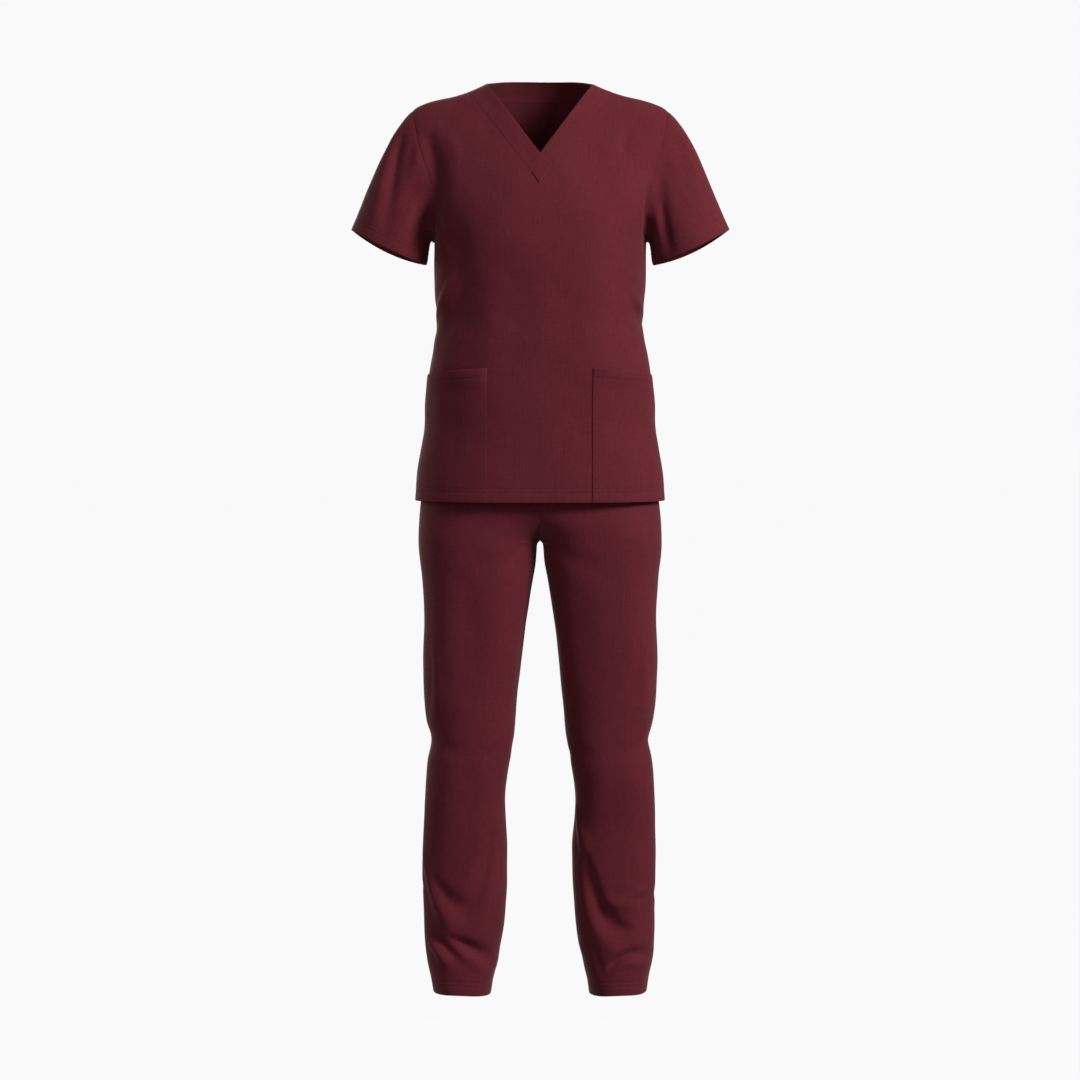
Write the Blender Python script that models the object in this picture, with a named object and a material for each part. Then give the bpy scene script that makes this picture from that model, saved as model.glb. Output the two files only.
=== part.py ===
"""Medical scrubs set: a V-neck top with short sleeves and two patch pockets, and straight trousers.

Nobody wears the set. Each cut piece is a thin wall of cloth that keeps the form of a general figure.
The front faces -Y and +X is the wearer's left. The origin lies between the two neck corners, in the
plane of the shoulder seams. Lengths are in millimetres until a mesh is made, and angles in degrees.
"""

import bpy
import numpy as np

MM = 0.001
CLOTH = 1.5                 # thickness of every wall
SEAM_GAP = 0.3              # space between two pieces at their seam
CLOTH_COLOR = (0.105, 0.016, 0.022, 1.0)
CLOTH_ROUGHNESS = 0.85

# Heights of the top, below the neck corners
UNDERARM = -253.0           # where the side seam meets the armhole
HEM = -665.0
V_POINT = -114.5            # bottom of the neck opening
V_SEAM = -163.5             # bottom of the seam between neckband and front
BACK_NECK = 8.0             # middle of the back neck edge
BACK_SEAM = -22.0           # middle of the seam between the back neckband and the back

# Half widths on the shoulder
NECK_CORNER = 85.0
BAND_CORNER = 116.0

# Patch pockets
POCKET_INNER = 83.0         # from the middle of the front to the pocket's inner edge
POCKET_TOP_INNER = -453.0
POCKET_TOP_OUTER = -467.0

# Sleeves
CUFF_CENTRE = (242.5, 0.0, -260.0)
CUFF_SLOPE = 25.0           # of the sleeve, away from plumb
CUFF_ACROSS = 67.0          # half widths of the cuff
CUFF_DEEP = 58.0
CUFF_FRONT_DROP = 4.0       # how much lower the cuff hangs in front and behind than at its sides
CUFF_BACK_DROP = 8.0
UNDERARM_REACH = 16.0       # how far the sleeve goes on from the body before it turns down
SHOULDER_REACH = 48.0
CUFF_REACH = 0.35           # part of the sleeve's length that runs straight down to the cuff

# Trousers
WAIST_TOP = -460.0
WAIST_SEAM = -495.0
CROTCH = -731.0
SEAT_RISE = 110.0           # height over which the crotch seam turns from level to plumb
LEG_HEM = -1457.0

# How full the sections are at their corners, over an ellipse
BODY_CORNER = 0.07
LEG_CORNER = 0.08

# How the curves run
BACK_SEAM_CURVE = 2.5       # power by which the back neck's seam rises from its middle to the shoulder
BACK_NECK_CURVE = 4         # the same for the back neck's edge
SEAT_CURVE = 1.4            # power that sets the rows closer together near the crotch
FOLD_START = 0.15           # part of half a wave at which a fold's depth starts, and the part it runs over
FOLD_RUN = 0.7

# How the meshes are divided
POCKET_ROWS = 4             # rows of the top between the hem and the pocket's mouth
LOWER_ROWS = 8              # between the hem and the underarm
ROWS_TO_TIP = 4             # between the underarm and the tip of the neckband's seam
ROWS_TO_SHOULDER = 8        # between that tip and the shoulder seam
POCKET_COLUMN = 3           # column of the front along the pocket's inner edge, from the middle
HALF_COLUMNS = 9            # of the front, on each side of its middle
NECK_COLUMNS = 5            # of the back, under half its neckband
SHOULDER_COLUMNS = 6        # of the back, under one shoulder seam
SLEEVE_PLACES = (0, 0.05, 0.13, 0.24, 0.38, 0.54, 0.7, 0.86, 1)
BAND_COLUMNS = 2
HIP_ROWS = 2
SEAT_ROWS = 6
LEG_COLUMNS = 8
WAIST_COLUMNS = 32
LOWER_LEG_ROWS = (LEG_HEM, -1425, -1392, -1360, -1325, -1290, -1226, -1146)
UPPER_LEG_ROWS = (-1100, -1050, -1000, -922, -840, -770, -736)


def table(names, *rows):
    """A short table as a dictionary of columns, with the slope of each column at each row."""
    columns = dict(zip(names.split(), np.array(rows, dtype=float).T))
    keys = columns[names.split()[0]]
    slopes = {name: np.gradient(values, keys) for name, values in columns.items()}
    return {"keys": keys, "values": columns, "slopes": slopes}


def read(rows, name, place):
    """One column of a table at any place along its first column, on a smooth curve."""
    keys = rows["keys"]
    values = rows["values"][name]
    slopes = rows["slopes"][name]
    place = np.clip(place, keys[0], keys[-1])
    low = np.clip(np.searchsorted(keys, place, side="right") - 1, 0, len(keys) - 2)
    step = keys[low + 1] - keys[low]
    t = (place - keys[low]) / step
    from_values = values[low] + (values[low + 1] - values[low]) * t * t * (3 - 2 * t)
    from_slopes = t * (1 - t) * step * (slopes[low] * (1 - t) - slopes[low + 1] * t)
    return from_values + from_slopes


# Sections of the top, from the hem to the shoulder. Above the underarm each depth is the one before
# the shoulder's rounding, and the half width runs on past the armhole into the sleeve.
BODY = table(
    "level half_width front back",
    (-665, 200, 116, 122),
    (-618, 195, 115, 120),
    (-586, 189, 114, 118),
    (-554, 183.5, 113, 116),
    (-506, 182, 113, 114),
    (-474, 179, 113, 112),
    (-442, 175, 113, 110),
    (-410, 170, 113, 108),
    (-378, 164.5, 113, 107),
    (-346, 167, 114, 109),
    (-300, 169, 115, 113),
    (-245, 169.5, 115, 117),
    (-216, 173, 113.5, 117),
    (-184, 183, 107, 119),
    (-122, 207, 87, 121.5),
    (-61, 232.5, 77, 121),
    (0, 251.5, 73, 117.5),
)

# The shoulder seam's height, with its line run on to the middle of the neck and over the shoulder
SHOULDER = table(
    "across height",
    (0, 44),
    (35, 36),
    (62, 17),
    (85, 0.5),
    (102, -7.5),
    (117, -13.5),
    (134, -19),
    (163, -26),
    (184, -32.5),
    (197, -38.5),
    (206, -45.5),
    (222, -60),
    (250, -92),
)

# Where the armhole crosses the sections, by how far each one has turned from underarm to shoulder
ARMHOLE = table(
    "turn angle",
    (0, 0),
    (10, 10.5),
    (20, 20),
    (30, 27),
    (45, 34),
    (60, 38),
    (75, 40),
    (90, 40.5),
)

# Sections of one trouser leg, up to the waist
LEG = table(
    "height outer front back",
    (-1457, 172, 80, 86),
    (-1434, 175.5, 78, 88),
    (-1402, 182, 74, 89),
    (-1370, 185, 71, 90),
    (-1306, 185.5, 67, 90),
    (-1226, 186.5, 65, 86),
    (-1146, 185, 70, 79),
    (-1114, 183.5, 73, 75),
    (-1082, 181, 75, 72),
    (-1050, 175.5, 76, 71),
    (-1018, 182.5, 77, 75),
    (-986, 186, 79, 79),
    (-922, 188.5, 83, 85),
    (-858, 186, 87, 90),
    (-794, 189.5, 91, 95),
    (-731, 195.5, 94, 99),
    (-666, 192, 95, 105),
    (-620, 184.5, 95, 105),
    (-560, 172.5, 93, 101),
    (-495, 157, 92, 96),
    (-460, 152, 91, 94),
)

# The inner side of a leg, below the crotch
INSEAM = table(
    "height inner",
    (-1457, 80),
    (-1434, 76),
    (-1402, 67),
    (-1370, 61),
    (-1306, 55),
    (-1226, 53.5),
    (-1146, 56.5),
    (-1114, 53.5),
    (-1082, 48.5),
    (-1050, 43),
    (-986, 37),
    (-922, 30.5),
    (-858, 22.5),
    (-794, 13),
    (-762, 6.5),
    (-745, 5),
    (-737, 4),
    (-733, 2.4),
    (-731, 0.15),
)

# The largest folds, as soft troughs (depth below 0) and ridges, each from one end to the other
TOP_FOLDS = table(
    "start_x start_z end_x end_z reach depth",
    (-168, -84, -158, -215, 11, -7),
    (142, -76, 134, -122, 12, -3),
    (-142, -306, -156, -348, 12, 4),
    (150, -325, 166, -367, 12, 4),
)
LEG_FOLDS = table(
    "start_x start_z end_x end_z reach depth",
    (-182, -1245, -138, -1360, 16, 5),
    (-64, -1205, -118, -1330, 15, -7),
    (-150, -1370, -86, -1392, 12, -7),
    (72, -1258, 112, -1358, 15, -9),
    (112, -1358, 150, -1360, 12, -8),
    (60, -1168, 92, -1275, 14, 5),
    (110, -1398, 172, -1390, 12, -5),
)
CALF_FOLDS = table(
    "start_x start_z end_x end_z reach depth",
    (-160, -1052, -80, -1066, 14, -5),
    (-170, -1330, -95, -1358, 14, -6),
    (-150, -1385, -88, -1400, 12, -5),
    (75, -1062, 155, -1048, 14, -5),
    (90, -1348, 165, -1326, 14, -6),
    (85, -1404, 150, -1392, 12, -5),
)


def section(angle, corner):
    """Across and deep, as parts of the half width and the depth, for an ellipse with full corners."""
    turned = np.radians(angle)
    fuller = 1 + corner * np.sin(2 * turned) ** 2
    return np.cos(turned) * fuller, np.sin(turned) * fuller


def angle_across(across, corner):
    """The angle at which a section has come that far across."""
    turned = np.arccos(np.clip(across, -1, 1))
    for _ in range(60):
        turned = np.arccos(np.clip(across / (1 + corner * np.sin(2 * turned) ** 2), -1, 1))
    return np.degrees(turned)


def stack(x, y, z):
    return np.stack(np.broadcast_arrays(x, y, z), axis=-1).astype(float)


def body(turn, angle):
    """The top's surface on the wearer's left. A turn from 0 to 90 climbs from the underarm to the
    shoulder seam, and one below 0 goes down to the hem at -90. The side seam is at angle 0, the
    middle of the front at 90 and the middle of the back at -90."""
    climb = np.where(turn > 0, np.sin(np.radians(turn)) ** 2, 0)
    level = np.where(turn > 0, UNDERARM * (1 - climb), UNDERARM + (UNDERARM - HEM) * turn / 90)
    rounding = np.where(turn > 0, np.cos(np.radians(turn)) * np.sqrt(1 + climb), 1)
    across, deep = section(angle, BODY_CORNER)
    x = read(BODY, "half_width", level) * across
    depth = np.where(angle >= 0, read(BODY, "front", level), read(BODY, "back", level))
    y = -depth * rounding * deep
    shoulder = read(SHOULDER, "height", np.abs(x))
    z = np.where(turn > 0, UNDERARM + (shoulder - UNDERARM) * climb, level)
    return stack(x, y, z)


def turn_at_height(x, height):
    """The turn of the section that passes through a point of the upper top."""
    climb = (height - UNDERARM) / (read(SHOULDER, "height", np.abs(x)) - UNDERARM)
    return np.degrees(np.arcsin(np.sqrt(np.clip(climb, 0, 1))))


def angle_at(turn, x):
    """The angle at which a section of the upper top comes to a distance from the middle."""
    level = UNDERARM * np.cos(np.radians(turn)) ** 2
    return angle_across(x / read(BODY, "half_width", level), BODY_CORNER)


def armhole(around):
    """The armhole's seam: 0 at the underarm, 90 in front, 180 on the shoulder and 270 behind."""
    turn = np.where(around <= 180, around, 360 - around) / 2
    angle = read(ARMHOLE, "angle", turn)
    return turn, np.where(around <= 180, angle, -angle)


def normals_of(surface, first, second, step_first=0.5, step_second=0.5):
    """Unit normals of a surface given by two coordinates, by small steps to both sides."""
    along = surface(first + step_first, second) - surface(first - step_first, second)
    aside = surface(first, second + step_second) - surface(first, second - step_second)
    normal = np.cross(along, aside)
    return normal / np.linalg.norm(normal, axis=-1, keepdims=True)


def body_normals(turn, angle):
    return normals_of(body, turn, angle)


def sleeve(around, along):
    """The left sleeve's surface, from the armhole (along 0) to the cuff (along 1). Each line leaves
    the armhole in the body's own surface, but leans out from it under the arm, where the sleeve
    turns down beside the body, and goes straight out over the shoulder, where the lines would
    otherwise run together. It comes to the cuff along the sleeve."""
    around = np.mod(around, 360)
    start = body(*armhole(around))
    seam = body(*armhole(np.mod(around + 0.5, 360))) - body(*armhole(np.mod(around - 0.5, 360)))
    normal = body_normals(*armhole(around))
    outward = np.cross(seam, normal)
    outward /= np.linalg.norm(outward, axis=-1, keepdims=True)
    outward[..., 1] *= 1 - np.sin(np.radians(around) / 2) ** 4
    lean = np.clip(np.cos(np.radians(around)), 0, 1) ** 2
    outward += normal * lean[..., None]
    outward /= np.linalg.norm(outward, axis=-1, keepdims=True)
    slope = np.radians(CUFF_SLOPE)
    down = np.array([np.sin(slope), 0, -np.cos(slope)])
    inward = np.array([-np.cos(slope), 0, -np.sin(slope)])
    turned = np.radians(around)[..., None]
    drop = np.where(np.sin(turned) < 0, CUFF_BACK_DROP, CUFF_FRONT_DROP)
    end = np.array(CUFF_CENTRE) + inward * CUFF_ACROSS * np.cos(turned)
    end = end + np.array([0, -CUFF_DEEP, 0]) * np.sin(turned) + down * drop * np.sin(turned) ** 2
    reach = UNDERARM_REACH + (SHOULDER_REACH - UNDERARM_REACH) * np.sin(turned / 2) ** 2
    first_handle = start + outward * reach
    length = np.linalg.norm(end - start, axis=-1, keepdims=True)
    last_handle = end - down * length * CUFF_REACH
    t = np.asarray(along, dtype=float)[..., None]
    near = (1 - t) ** 3 * start + 3 * (1 - t) ** 2 * t * first_handle
    far = 3 * (1 - t) * t ** 2 * last_handle + t ** 3 * end
    return near + far


def past_middle(height):
    """How far a leg's section reaches past the middle, above the crotch: not at all at the crotch,
    and at the top of the seat as far as its outer side, where it is one with the other leg's."""
    rise = np.clip((height - CROTCH) / SEAT_RISE, 0, 1)
    return SEAM_GAP / 2 - read(LEG, "outer", height) * rise ** 2 * (3 - 2 * rise)


def leg(height, angle):
    """The left trouser leg's surface. The side seam is at angle 0 and the inseam at 180. Above the
    crotch the section reaches past the middle, so that the two legs meet in the crotch seam."""
    outer = read(LEG, "outer", height)
    inner = np.where(height > CROTCH, past_middle(height), read(INSEAM, "inner", height))
    across, deep = section(angle, LEG_CORNER)
    x = (outer + inner) / 2 + (outer - inner) / 2 * across
    depth = np.where(angle >= 0, read(LEG, "front", height), read(LEG, "back", height))
    return stack(x, -depth * deep, height)


def middle_angle(height):
    """The angle at which a section of the trousers comes to the middle seam, or to the inseam."""
    outer = read(LEG, "outer", height)
    inner = past_middle(height)
    across = (SEAM_GAP / 2 - (outer + inner) / 2) / ((outer - inner) / 2)
    return np.where(height > CROTCH, angle_across(across, LEG_CORNER), 180)


def pull_in(points, edge):
    """Draws one edge of a grid of points in by half the seam gap, square to the seam."""
    if edge in ("last_row", "last_column"):
        points = points[::-1, ::-1]
    if edge in ("first_column", "last_column"):
        points = points.transpose(1, 0, 2)
    seam = points[0]
    run = np.gradient(seam, axis=0)
    run /= np.linalg.norm(run, axis=-1, keepdims=True)
    inward = points[1] - seam
    inward -= run * np.sum(inward * run, axis=-1, keepdims=True)
    inward /= np.linalg.norm(inward, axis=-1, keepdims=True)
    seam += inward * SEAM_GAP / 2


def fold(points, normals, folds):
    """Moves the points along their normals into the folds of one face of the garment."""
    heights = np.zeros(points.shape[:-1])
    for row in zip(*folds["values"].values()):
        start, end, reach, depth = np.array(row[0:2]), np.array(row[2:4]), row[4], row[5]
        flat = points[..., [0, 2]] - start
        run = end - start
        part = np.clip(np.sum(flat * run, axis=-1) / np.sum(run * run), 0, 1)
        away = np.linalg.norm(flat - part[..., None] * run, axis=-1)
        heights += depth * np.exp(-(away / reach) ** 2) * np.sin(np.pi * (FOLD_START + FOLD_RUN * part))
    points += normals * heights[..., None]


def mirrored(grid):
    """The same grid of points or normals on the other side, with its columns in the other order."""
    return (grid * np.array([-1, 1, 1]))[:, ::-1]


def make_cloth(name, grids, offset=0.0, closed=False):
    """Makes one named piece from grids of points and normals: an outer and an inner face along the
    normals and a rim round the edges. Grids that share points are joined."""
    places = {}
    middles = []
    directions = []
    quads = []
    for points, normals in grids:
        index = np.zeros(points.shape[:2], dtype=int)
        for place in np.ndindex(index.shape):
            key = tuple(np.round(points[place], 3) + 0.0)
            if key not in places:
                places[key] = len(middles)
                middles.append(points[place])
                directions.append(normals[place])
            index[place] = places[key]
        if closed:
            index = np.hstack([index, index[:, :1]])
            points = np.hstack([points, points[:, :1]])
            normals = np.hstack([normals, normals[:, :1]])
        diagonals = np.cross(points[1:, 1:] - points[:-1, :-1], points[1:, :-1] - points[:-1, 1:])
        if np.sum(diagonals * normals[:-1, :-1]) < 0:
            index = index[:, ::-1]
        for i in range(index.shape[0] - 1):
            for j in range(index.shape[1] - 1):
                quads.append((index[i, j], index[i, j + 1], index[i + 1, j + 1], index[i + 1, j]))
    middles = np.array(middles)
    directions = np.array(directions)
    outer = middles + directions * (offset + CLOTH / 2)
    inner = middles + directions * (offset - CLOTH / 2)
    count = len(middles)
    edges = {}
    for quad in quads:
        for a, b in zip(quad, quad[1:] + quad[:1]):
            edges[(a, b)] = True
    faces = list(quads)
    faces += [tuple(count + quad[corner] for corner in (0, 3, 2, 1)) for quad in quads]
    faces += [(b, a, count + a, count + b) for a, b in edges if (b, a) not in edges]
    mesh = bpy.data.meshes.new(name)
    mesh.from_pydata((np.vstack([outer, inner]) * MM).tolist(), [], faces)
    mesh.update()
    mesh.shade_smooth()
    mesh.set_sharp_from_angle(angle=np.radians(50))
    material = bpy.data.materials.new(name + "_cloth")
    material.use_nodes = True
    shader = material.node_tree.nodes["Principled BSDF"]
    shader.inputs["Base Color"].default_value = CLOTH_COLOR
    shader.inputs["Roughness"].default_value = CLOTH_ROUGHNESS
    shader.inputs["Metallic"].default_value = 0.0
    mesh.materials.append(material)
    piece = bpy.data.objects.new(name, mesh)
    bpy.data.collections["scrubs_set"].objects.link(piece)
    return piece


def make_pair(name, grids, offset=0.0, closed=False):
    """Makes the wearer's left piece and its mirror image on the right."""
    other = [(mirrored(points), mirrored(normals)) for points, normals in grids]
    make_cloth(name + "_left", grids, offset, closed)
    make_cloth(name + "_right", other, offset, closed)


UNDER_END = 0.6             # where the lower neckband ends, just past the middle
BAND_RISE = 20.0            # how far before the middle the upper neckband starts to lift over it

# The upper neckband's end past the middle, from its cut end back to the middle
BAND_FLAP = table(
    "seam_x seam_z neck_x neck_z",
    (1.6, -162.1, 19, -131.5),
    (0.8, -162.7, 9.5, -123.5),
    (0, -163.3, 0, -114.5),
)

NECK_SHARES = np.sin(np.linspace(0, np.pi / 2, NECK_COLUMNS + 1))

tip_turn = float(turn_at_height(0.0, V_SEAM - 0.7 * SEAM_GAP))
UPPER_TURNS = np.concatenate([
    np.linspace(0, tip_turn, ROWS_TO_TIP + 1)[:-1],
    np.linspace(tip_turn, 90, ROWS_TO_SHOULDER + 1),
])
LOWER_LEVELS = np.concatenate([
    np.linspace(HEM, POCKET_TOP_OUTER, POCKET_ROWS + 1),
    np.linspace(POCKET_TOP_OUTER, UNDERARM, LOWER_ROWS - POCKET_ROWS + 1)[1:-1],
])


def v_seam_angle(turn):
    """Where the straight seam between neckband and front crosses a section, by halving."""
    if turn <= tip_turn:
        return 90.0
    low, high = 0.0, 90.0
    for _ in range(50):
        middle = (low + high) / 2
        x, _, z = body(turn, middle)
        top = float(read(SHOULDER, "height", BAND_CORNER))
        seam_x = BAND_CORNER * (z - V_SEAM) / (top - V_SEAM)
        low, high = (low, middle) if x < seam_x else (middle, high)
    return (low + high) / 2


def turn_at_level(level):
    return 90 * (level - UNDERARM) / (UNDERARM - HEM)


def front_grid():
    """The left half of the front, with columns from the middle or the V seam to the side. One
    column runs along the pocket's inner edge and one row along its falling mouth."""
    turns = np.concatenate([turn_at_level(LOWER_LEVELS), UPPER_TURNS])
    levels = np.concatenate([LOWER_LEVELS, np.full(len(UPPER_TURNS), UNDERARM)])
    pocket_angle = angle_across(POCKET_INNER / read(BODY, "half_width", levels), BODY_CORNER)
    pocket_share = (90 - pocket_angle[:, None]) / 90
    inside = np.arange(POCKET_COLUMN) / POCKET_COLUMN
    outside = np.linspace(0, 1, HALF_COLUMNS - POCKET_COLUMN + 1)
    share = np.hstack([inside * pocket_share, pocket_share + (1 - pocket_share) * outside])
    inner = np.array([v_seam_angle(turn) for turn in turns])
    outer = np.where(turns > 0, read(ARMHOLE, "angle", turns), 0)
    angles = inner[:, None] + (outer - inner)[:, None] * share
    turns = turns[:, None] + np.zeros_like(share)
    mouth = np.concatenate([np.full(POCKET_COLUMN, POCKET_TOP_INNER),
                            POCKET_TOP_INNER + (POCKET_TOP_OUTER - POCKET_TOP_INNER) * outside])
    turns[POCKET_ROWS] = turn_at_level(mouth)
    return turns, angles


def back_seam(share):
    """The seam between the back and its neckband, from the middle to the shoulder."""
    shoulder = float(read(SHOULDER, "height", BAND_CORNER))
    x = BAND_CORNER * share
    return x, turn_at_height(x, BACK_SEAM + (shoulder - BACK_SEAM) * share ** BACK_SEAM_CURVE)


def back_grid():
    """The left half of the back, with columns from the side to the middle. Its upper rows are
    spread between the underarm, the armhole, the middle and the line of neckband and shoulder."""
    neck_x, neck_turn = back_seam(NECK_SHARES)
    neck_angle = angle_at(neck_turn, neck_x)
    armhole_angle = float(read(ARMHOLE, "angle", 90))
    shoulder_angle = np.linspace(neck_angle[-1], armhole_angle, SHOULDER_COLUMNS + 1)
    top_turn = np.concatenate([neck_turn, np.full(SHOULDER_COLUMNS, 90.0)])
    top_angle = np.concatenate([neck_angle, shoulder_angle[1:]])
    columns = len(top_turn)
    u = np.linspace(0, 1, columns)[None, :]
    v = (UPPER_TURNS / 90)[:, None]
    side_angle = read(ARMHOLE, "angle", UPPER_TURNS)[:, None]
    side_turn = UPPER_TURNS[:, None]
    middle_turn = UPPER_TURNS[:, None] * neck_turn[0] / 90
    bottom_angle = 90 * (1 - u)
    turn = v * top_turn + (1 - u) * middle_turn + u * side_turn
    turn -= v * ((1 - u) * neck_turn[0] + u * 90)
    angle = (1 - v) * bottom_angle + v * top_angle + (1 - u) * 90 + u * side_angle
    angle -= (1 - v) * bottom_angle + v * ((1 - u) * 90 + u * top_angle[-1])
    lower_turn = np.broadcast_to(turn_at_level(LOWER_LEVELS)[:, None], (LOWER_ROWS, columns))
    lower_angle = np.broadcast_to(bottom_angle, (LOWER_ROWS, columns))
    turn = np.vstack([lower_turn, turn])
    angle = np.vstack([lower_angle, angle])
    return turn[:, ::-1], -angle[:, ::-1]


def make_top():
    """The front and the back, each cut on the fold of its middle, so in one piece. The patch
    pockets are made from the front's own points, moved out."""
    tip = LOWER_ROWS + ROWS_TO_TIP
    turns, angles = front_grid()
    points = body(turns, angles)
    normals = body_normals(turns, angles)
    pull_in(points[:LOWER_ROWS + 1], "last_column")
    pull_in(points[LOWER_ROWS:], "last_column")
    pull_in(points, "last_row")
    pull_in(points[tip + 1:], "first_column")
    points[:tip + 1, 0, 0] = 0
    normals[:tip + 1, 0, 0] = 0
    halves = [(points, normals), (mirrored(points), mirrored(normals))]
    for half in halves:
        fold(*half, TOP_FOLDS)
    make_cloth("top_front", halves)
    for name, (points, normals) in zip(("pocket_left", "pocket_right"), halves):
        columns = slice(POCKET_COLUMN, None) if name == "pocket_left" else slice(None, -POCKET_COLUMN)
        pocket = (points[:POCKET_ROWS + 1, columns], normals[:POCKET_ROWS + 1, columns])
        make_cloth(name, [pocket], offset=CLOTH + SEAM_GAP)

    turns, angles = back_grid()
    points = body(turns, angles)
    normals = body_normals(turns, angles)
    pull_in(points[:LOWER_ROWS + 1], "first_column")
    pull_in(points[LOWER_ROWS:], "first_column")
    pull_in(points[:, :SHOULDER_COLUMNS + 1], "last_row")
    pull_in(points[:, SHOULDER_COLUMNS:], "last_row")
    points[:, -1, 0] = 0
    normals[:, -1, 0] = 0
    make_cloth("top_back", [(points, normals), (mirrored(points), mirrored(normals))])


def make_sleeves():
    """Each sleeve is one piece, closed along its underarm."""
    around = np.concatenate([UPPER_TURNS * 2, 360 - UPPER_TURNS[-2:0:-1] * 2])
    around, along = np.meshgrid(around, np.array(SLEEVE_PLACES))
    points = sleeve(around, along)
    normals = -normals_of(sleeve, around, along, 0.5, 0.004)
    normals[0] = body_normals(*armhole(around[0]))
    pull_in(points, "first_row")
    make_pair("sleeve", [(points, normals)], closed=True)


def v_edge():
    """The seam between the neckband and the left half of the front, from its tip to the shoulder,
    and the neck edge beside it, each as sections and distances from the middle."""
    turns = UPPER_TURNS[ROWS_TO_TIP:].copy()
    turns[0] = float(turn_at_height(0.0, V_SEAM))
    angles = np.array([v_seam_angle(turn) for turn in turns])
    angles[0] = 90
    seam_x = body(turns, angles)[:, 0]
    share = np.linspace(0, 1, len(turns))
    neck_x = NECK_CORNER * share
    neck_z = V_POINT + (float(read(SHOULDER, "height", NECK_CORNER)) - V_POINT) * share
    return turns, seam_x, turn_at_height(neck_x, neck_z), neck_x


def strip(first_turn, first_x, last_turn, last_x, columns, front):
    """A strip of the top's surface between two lines, with that many columns across."""
    share = np.linspace(0, 1, columns + 1)
    turn = first_turn[:, None] + (last_turn - first_turn)[:, None] * share
    x = first_x[:, None] + (last_x - first_x)[:, None] * share
    angle = angle_at(turn, x)
    angle = angle if front else -angle
    return body(turn, angle), body_normals(turn, angle)


def make_neckband():
    """Two bands meet at the tip of the V, where the right one runs on over the left, and a third
    goes round the back of the neck. They meet on the shoulders."""
    seam_turn, seam_x, neck_turn, neck_x = v_edge()
    points, normals = strip(seam_turn, seam_x, neck_turn, neck_x, BAND_COLUMNS, True)
    pull_in(points, "first_column")
    pull_in(points, "last_row")
    under, under_normals = points.copy(), normals.copy()
    share = np.linspace(0, 1, BAND_COLUMNS + 1)
    under_z = V_SEAM + UNDER_END * 2 + (V_POINT - V_SEAM) * share
    under_turn = turn_at_height(UNDER_END, under_z)
    under_angle = angle_at(under_turn, UNDER_END)
    under[0] = body(under_turn, under_angle)
    under_normals[0] = body_normals(under_turn, under_angle)
    make_cloth("neckband_left", [(under, under_normals)])

    flap_x = np.array(BAND_FLAP["values"]["seam_x"])
    flap_seam = turn_at_height(flap_x, BAND_FLAP["values"]["seam_z"])
    flap_neck_x = BAND_FLAP["values"]["neck_x"]
    flap_neck = turn_at_height(flap_neck_x, BAND_FLAP["values"]["neck_z"])
    flap, flap_normals = strip(flap_seam, flap_x, flap_neck, flap_neck_x, BAND_COLUMNS, True)
    points[..., 0] *= -1
    normals[..., 0] *= -1
    points = np.concatenate([flap, points[1:]])
    normals = np.concatenate([flap_normals, normals[1:]])
    lift = np.clip(1 + points[..., 0] / BAND_RISE, 0, 1)
    lift = (CLOTH + SEAM_GAP) * lift * lift * (3 - 2 * lift)
    points += normals * lift[..., None]
    make_cloth("neckband_right", [(points, normals)])

    seam_x, seam_turn = back_seam(NECK_SHARES)
    neck_x = NECK_CORNER * NECK_SHARES
    shoulder = float(read(SHOULDER, "height", NECK_CORNER))
    neck_z = BACK_NECK + (shoulder - BACK_NECK) * NECK_SHARES ** BACK_NECK_CURVE
    neck_turn = turn_at_height(neck_x, neck_z)
    points, normals = strip(seam_turn, seam_x, neck_turn, neck_x, BAND_COLUMNS, False)
    pull_in(points, "first_column")
    pull_in(points, "last_row")
    points[0, :, 0] = 0
    normals[0, :, 0] = 0
    other_half = (mirrored(points[::-1]), mirrored(normals[::-1]))
    make_cloth("neckband_back", [(points, normals), other_half])


def make_trousers():
    """Four panels and a waistband. The panels meet at the side seams, the inseams and the middle."""
    seat = CROTCH + SEAT_RISE * np.linspace(0, 1, SEAT_ROWS + 1) ** SEAT_CURVE
    upper = np.linspace(CROTCH + SEAT_RISE, WAIST_SEAM, HIP_ROWS + 1)[1:]
    heights = np.concatenate([LOWER_LEG_ROWS, UPPER_LEG_ROWS, seat, upper])
    share = np.linspace(0, 1, LEG_COLUMNS + 1)[None, :]
    angles = middle_angle(heights)[:, None] * share
    heights = np.broadcast_to(heights[:, None], angles.shape)
    at_crotch = len(LOWER_LEG_ROWS + UPPER_LEG_ROWS)
    for name, side, folds in (("trouser_front", 1, LEG_FOLDS), ("trouser_back", -1, CALF_FOLDS)):
        points = leg(heights, side * angles)
        normals = normals_of(leg, heights, side * angles, 0.5, 0.5)
        normals *= np.sign(normals[0, 0, 0])
        normals[at_crotch:, -1, 0] = 0
        normals[at_crotch, -1] = (0, 0, -1)
        normals /= np.linalg.norm(normals, axis=-1, keepdims=True)
        pull_in(points, "first_column")
        pull_in(points[:at_crotch + 1], "last_column")
        pull_in(points, "last_row")
        points[at_crotch:, -1, 0] = SEAM_GAP / 2
        for end, x in (("_left", 1), ("_right", -1)):
            panel, directions = points * (x, 1, 1), normals * (x, 1, 1)
            fold(panel, directions, folds)
            make_cloth(name + end, [(panel, directions)])

    around = np.linspace(0, 360, WAIST_COLUMNS + 1)[:-1]
    height = np.linspace(WAIST_SEAM, WAIST_TOP, 3)
    around, height = np.meshgrid((around + 180) % 360 - 180, height)
    points = leg(height, around)
    normals = normals_of(leg, height, around, 0.5, 0.5)
    normals *= np.sign(np.sum(normals[0] * (points[0] - points[0].mean(axis=0))))
    pull_in(points, "first_row")
    make_cloth("waistband", [(points, normals)], closed=True)


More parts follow.
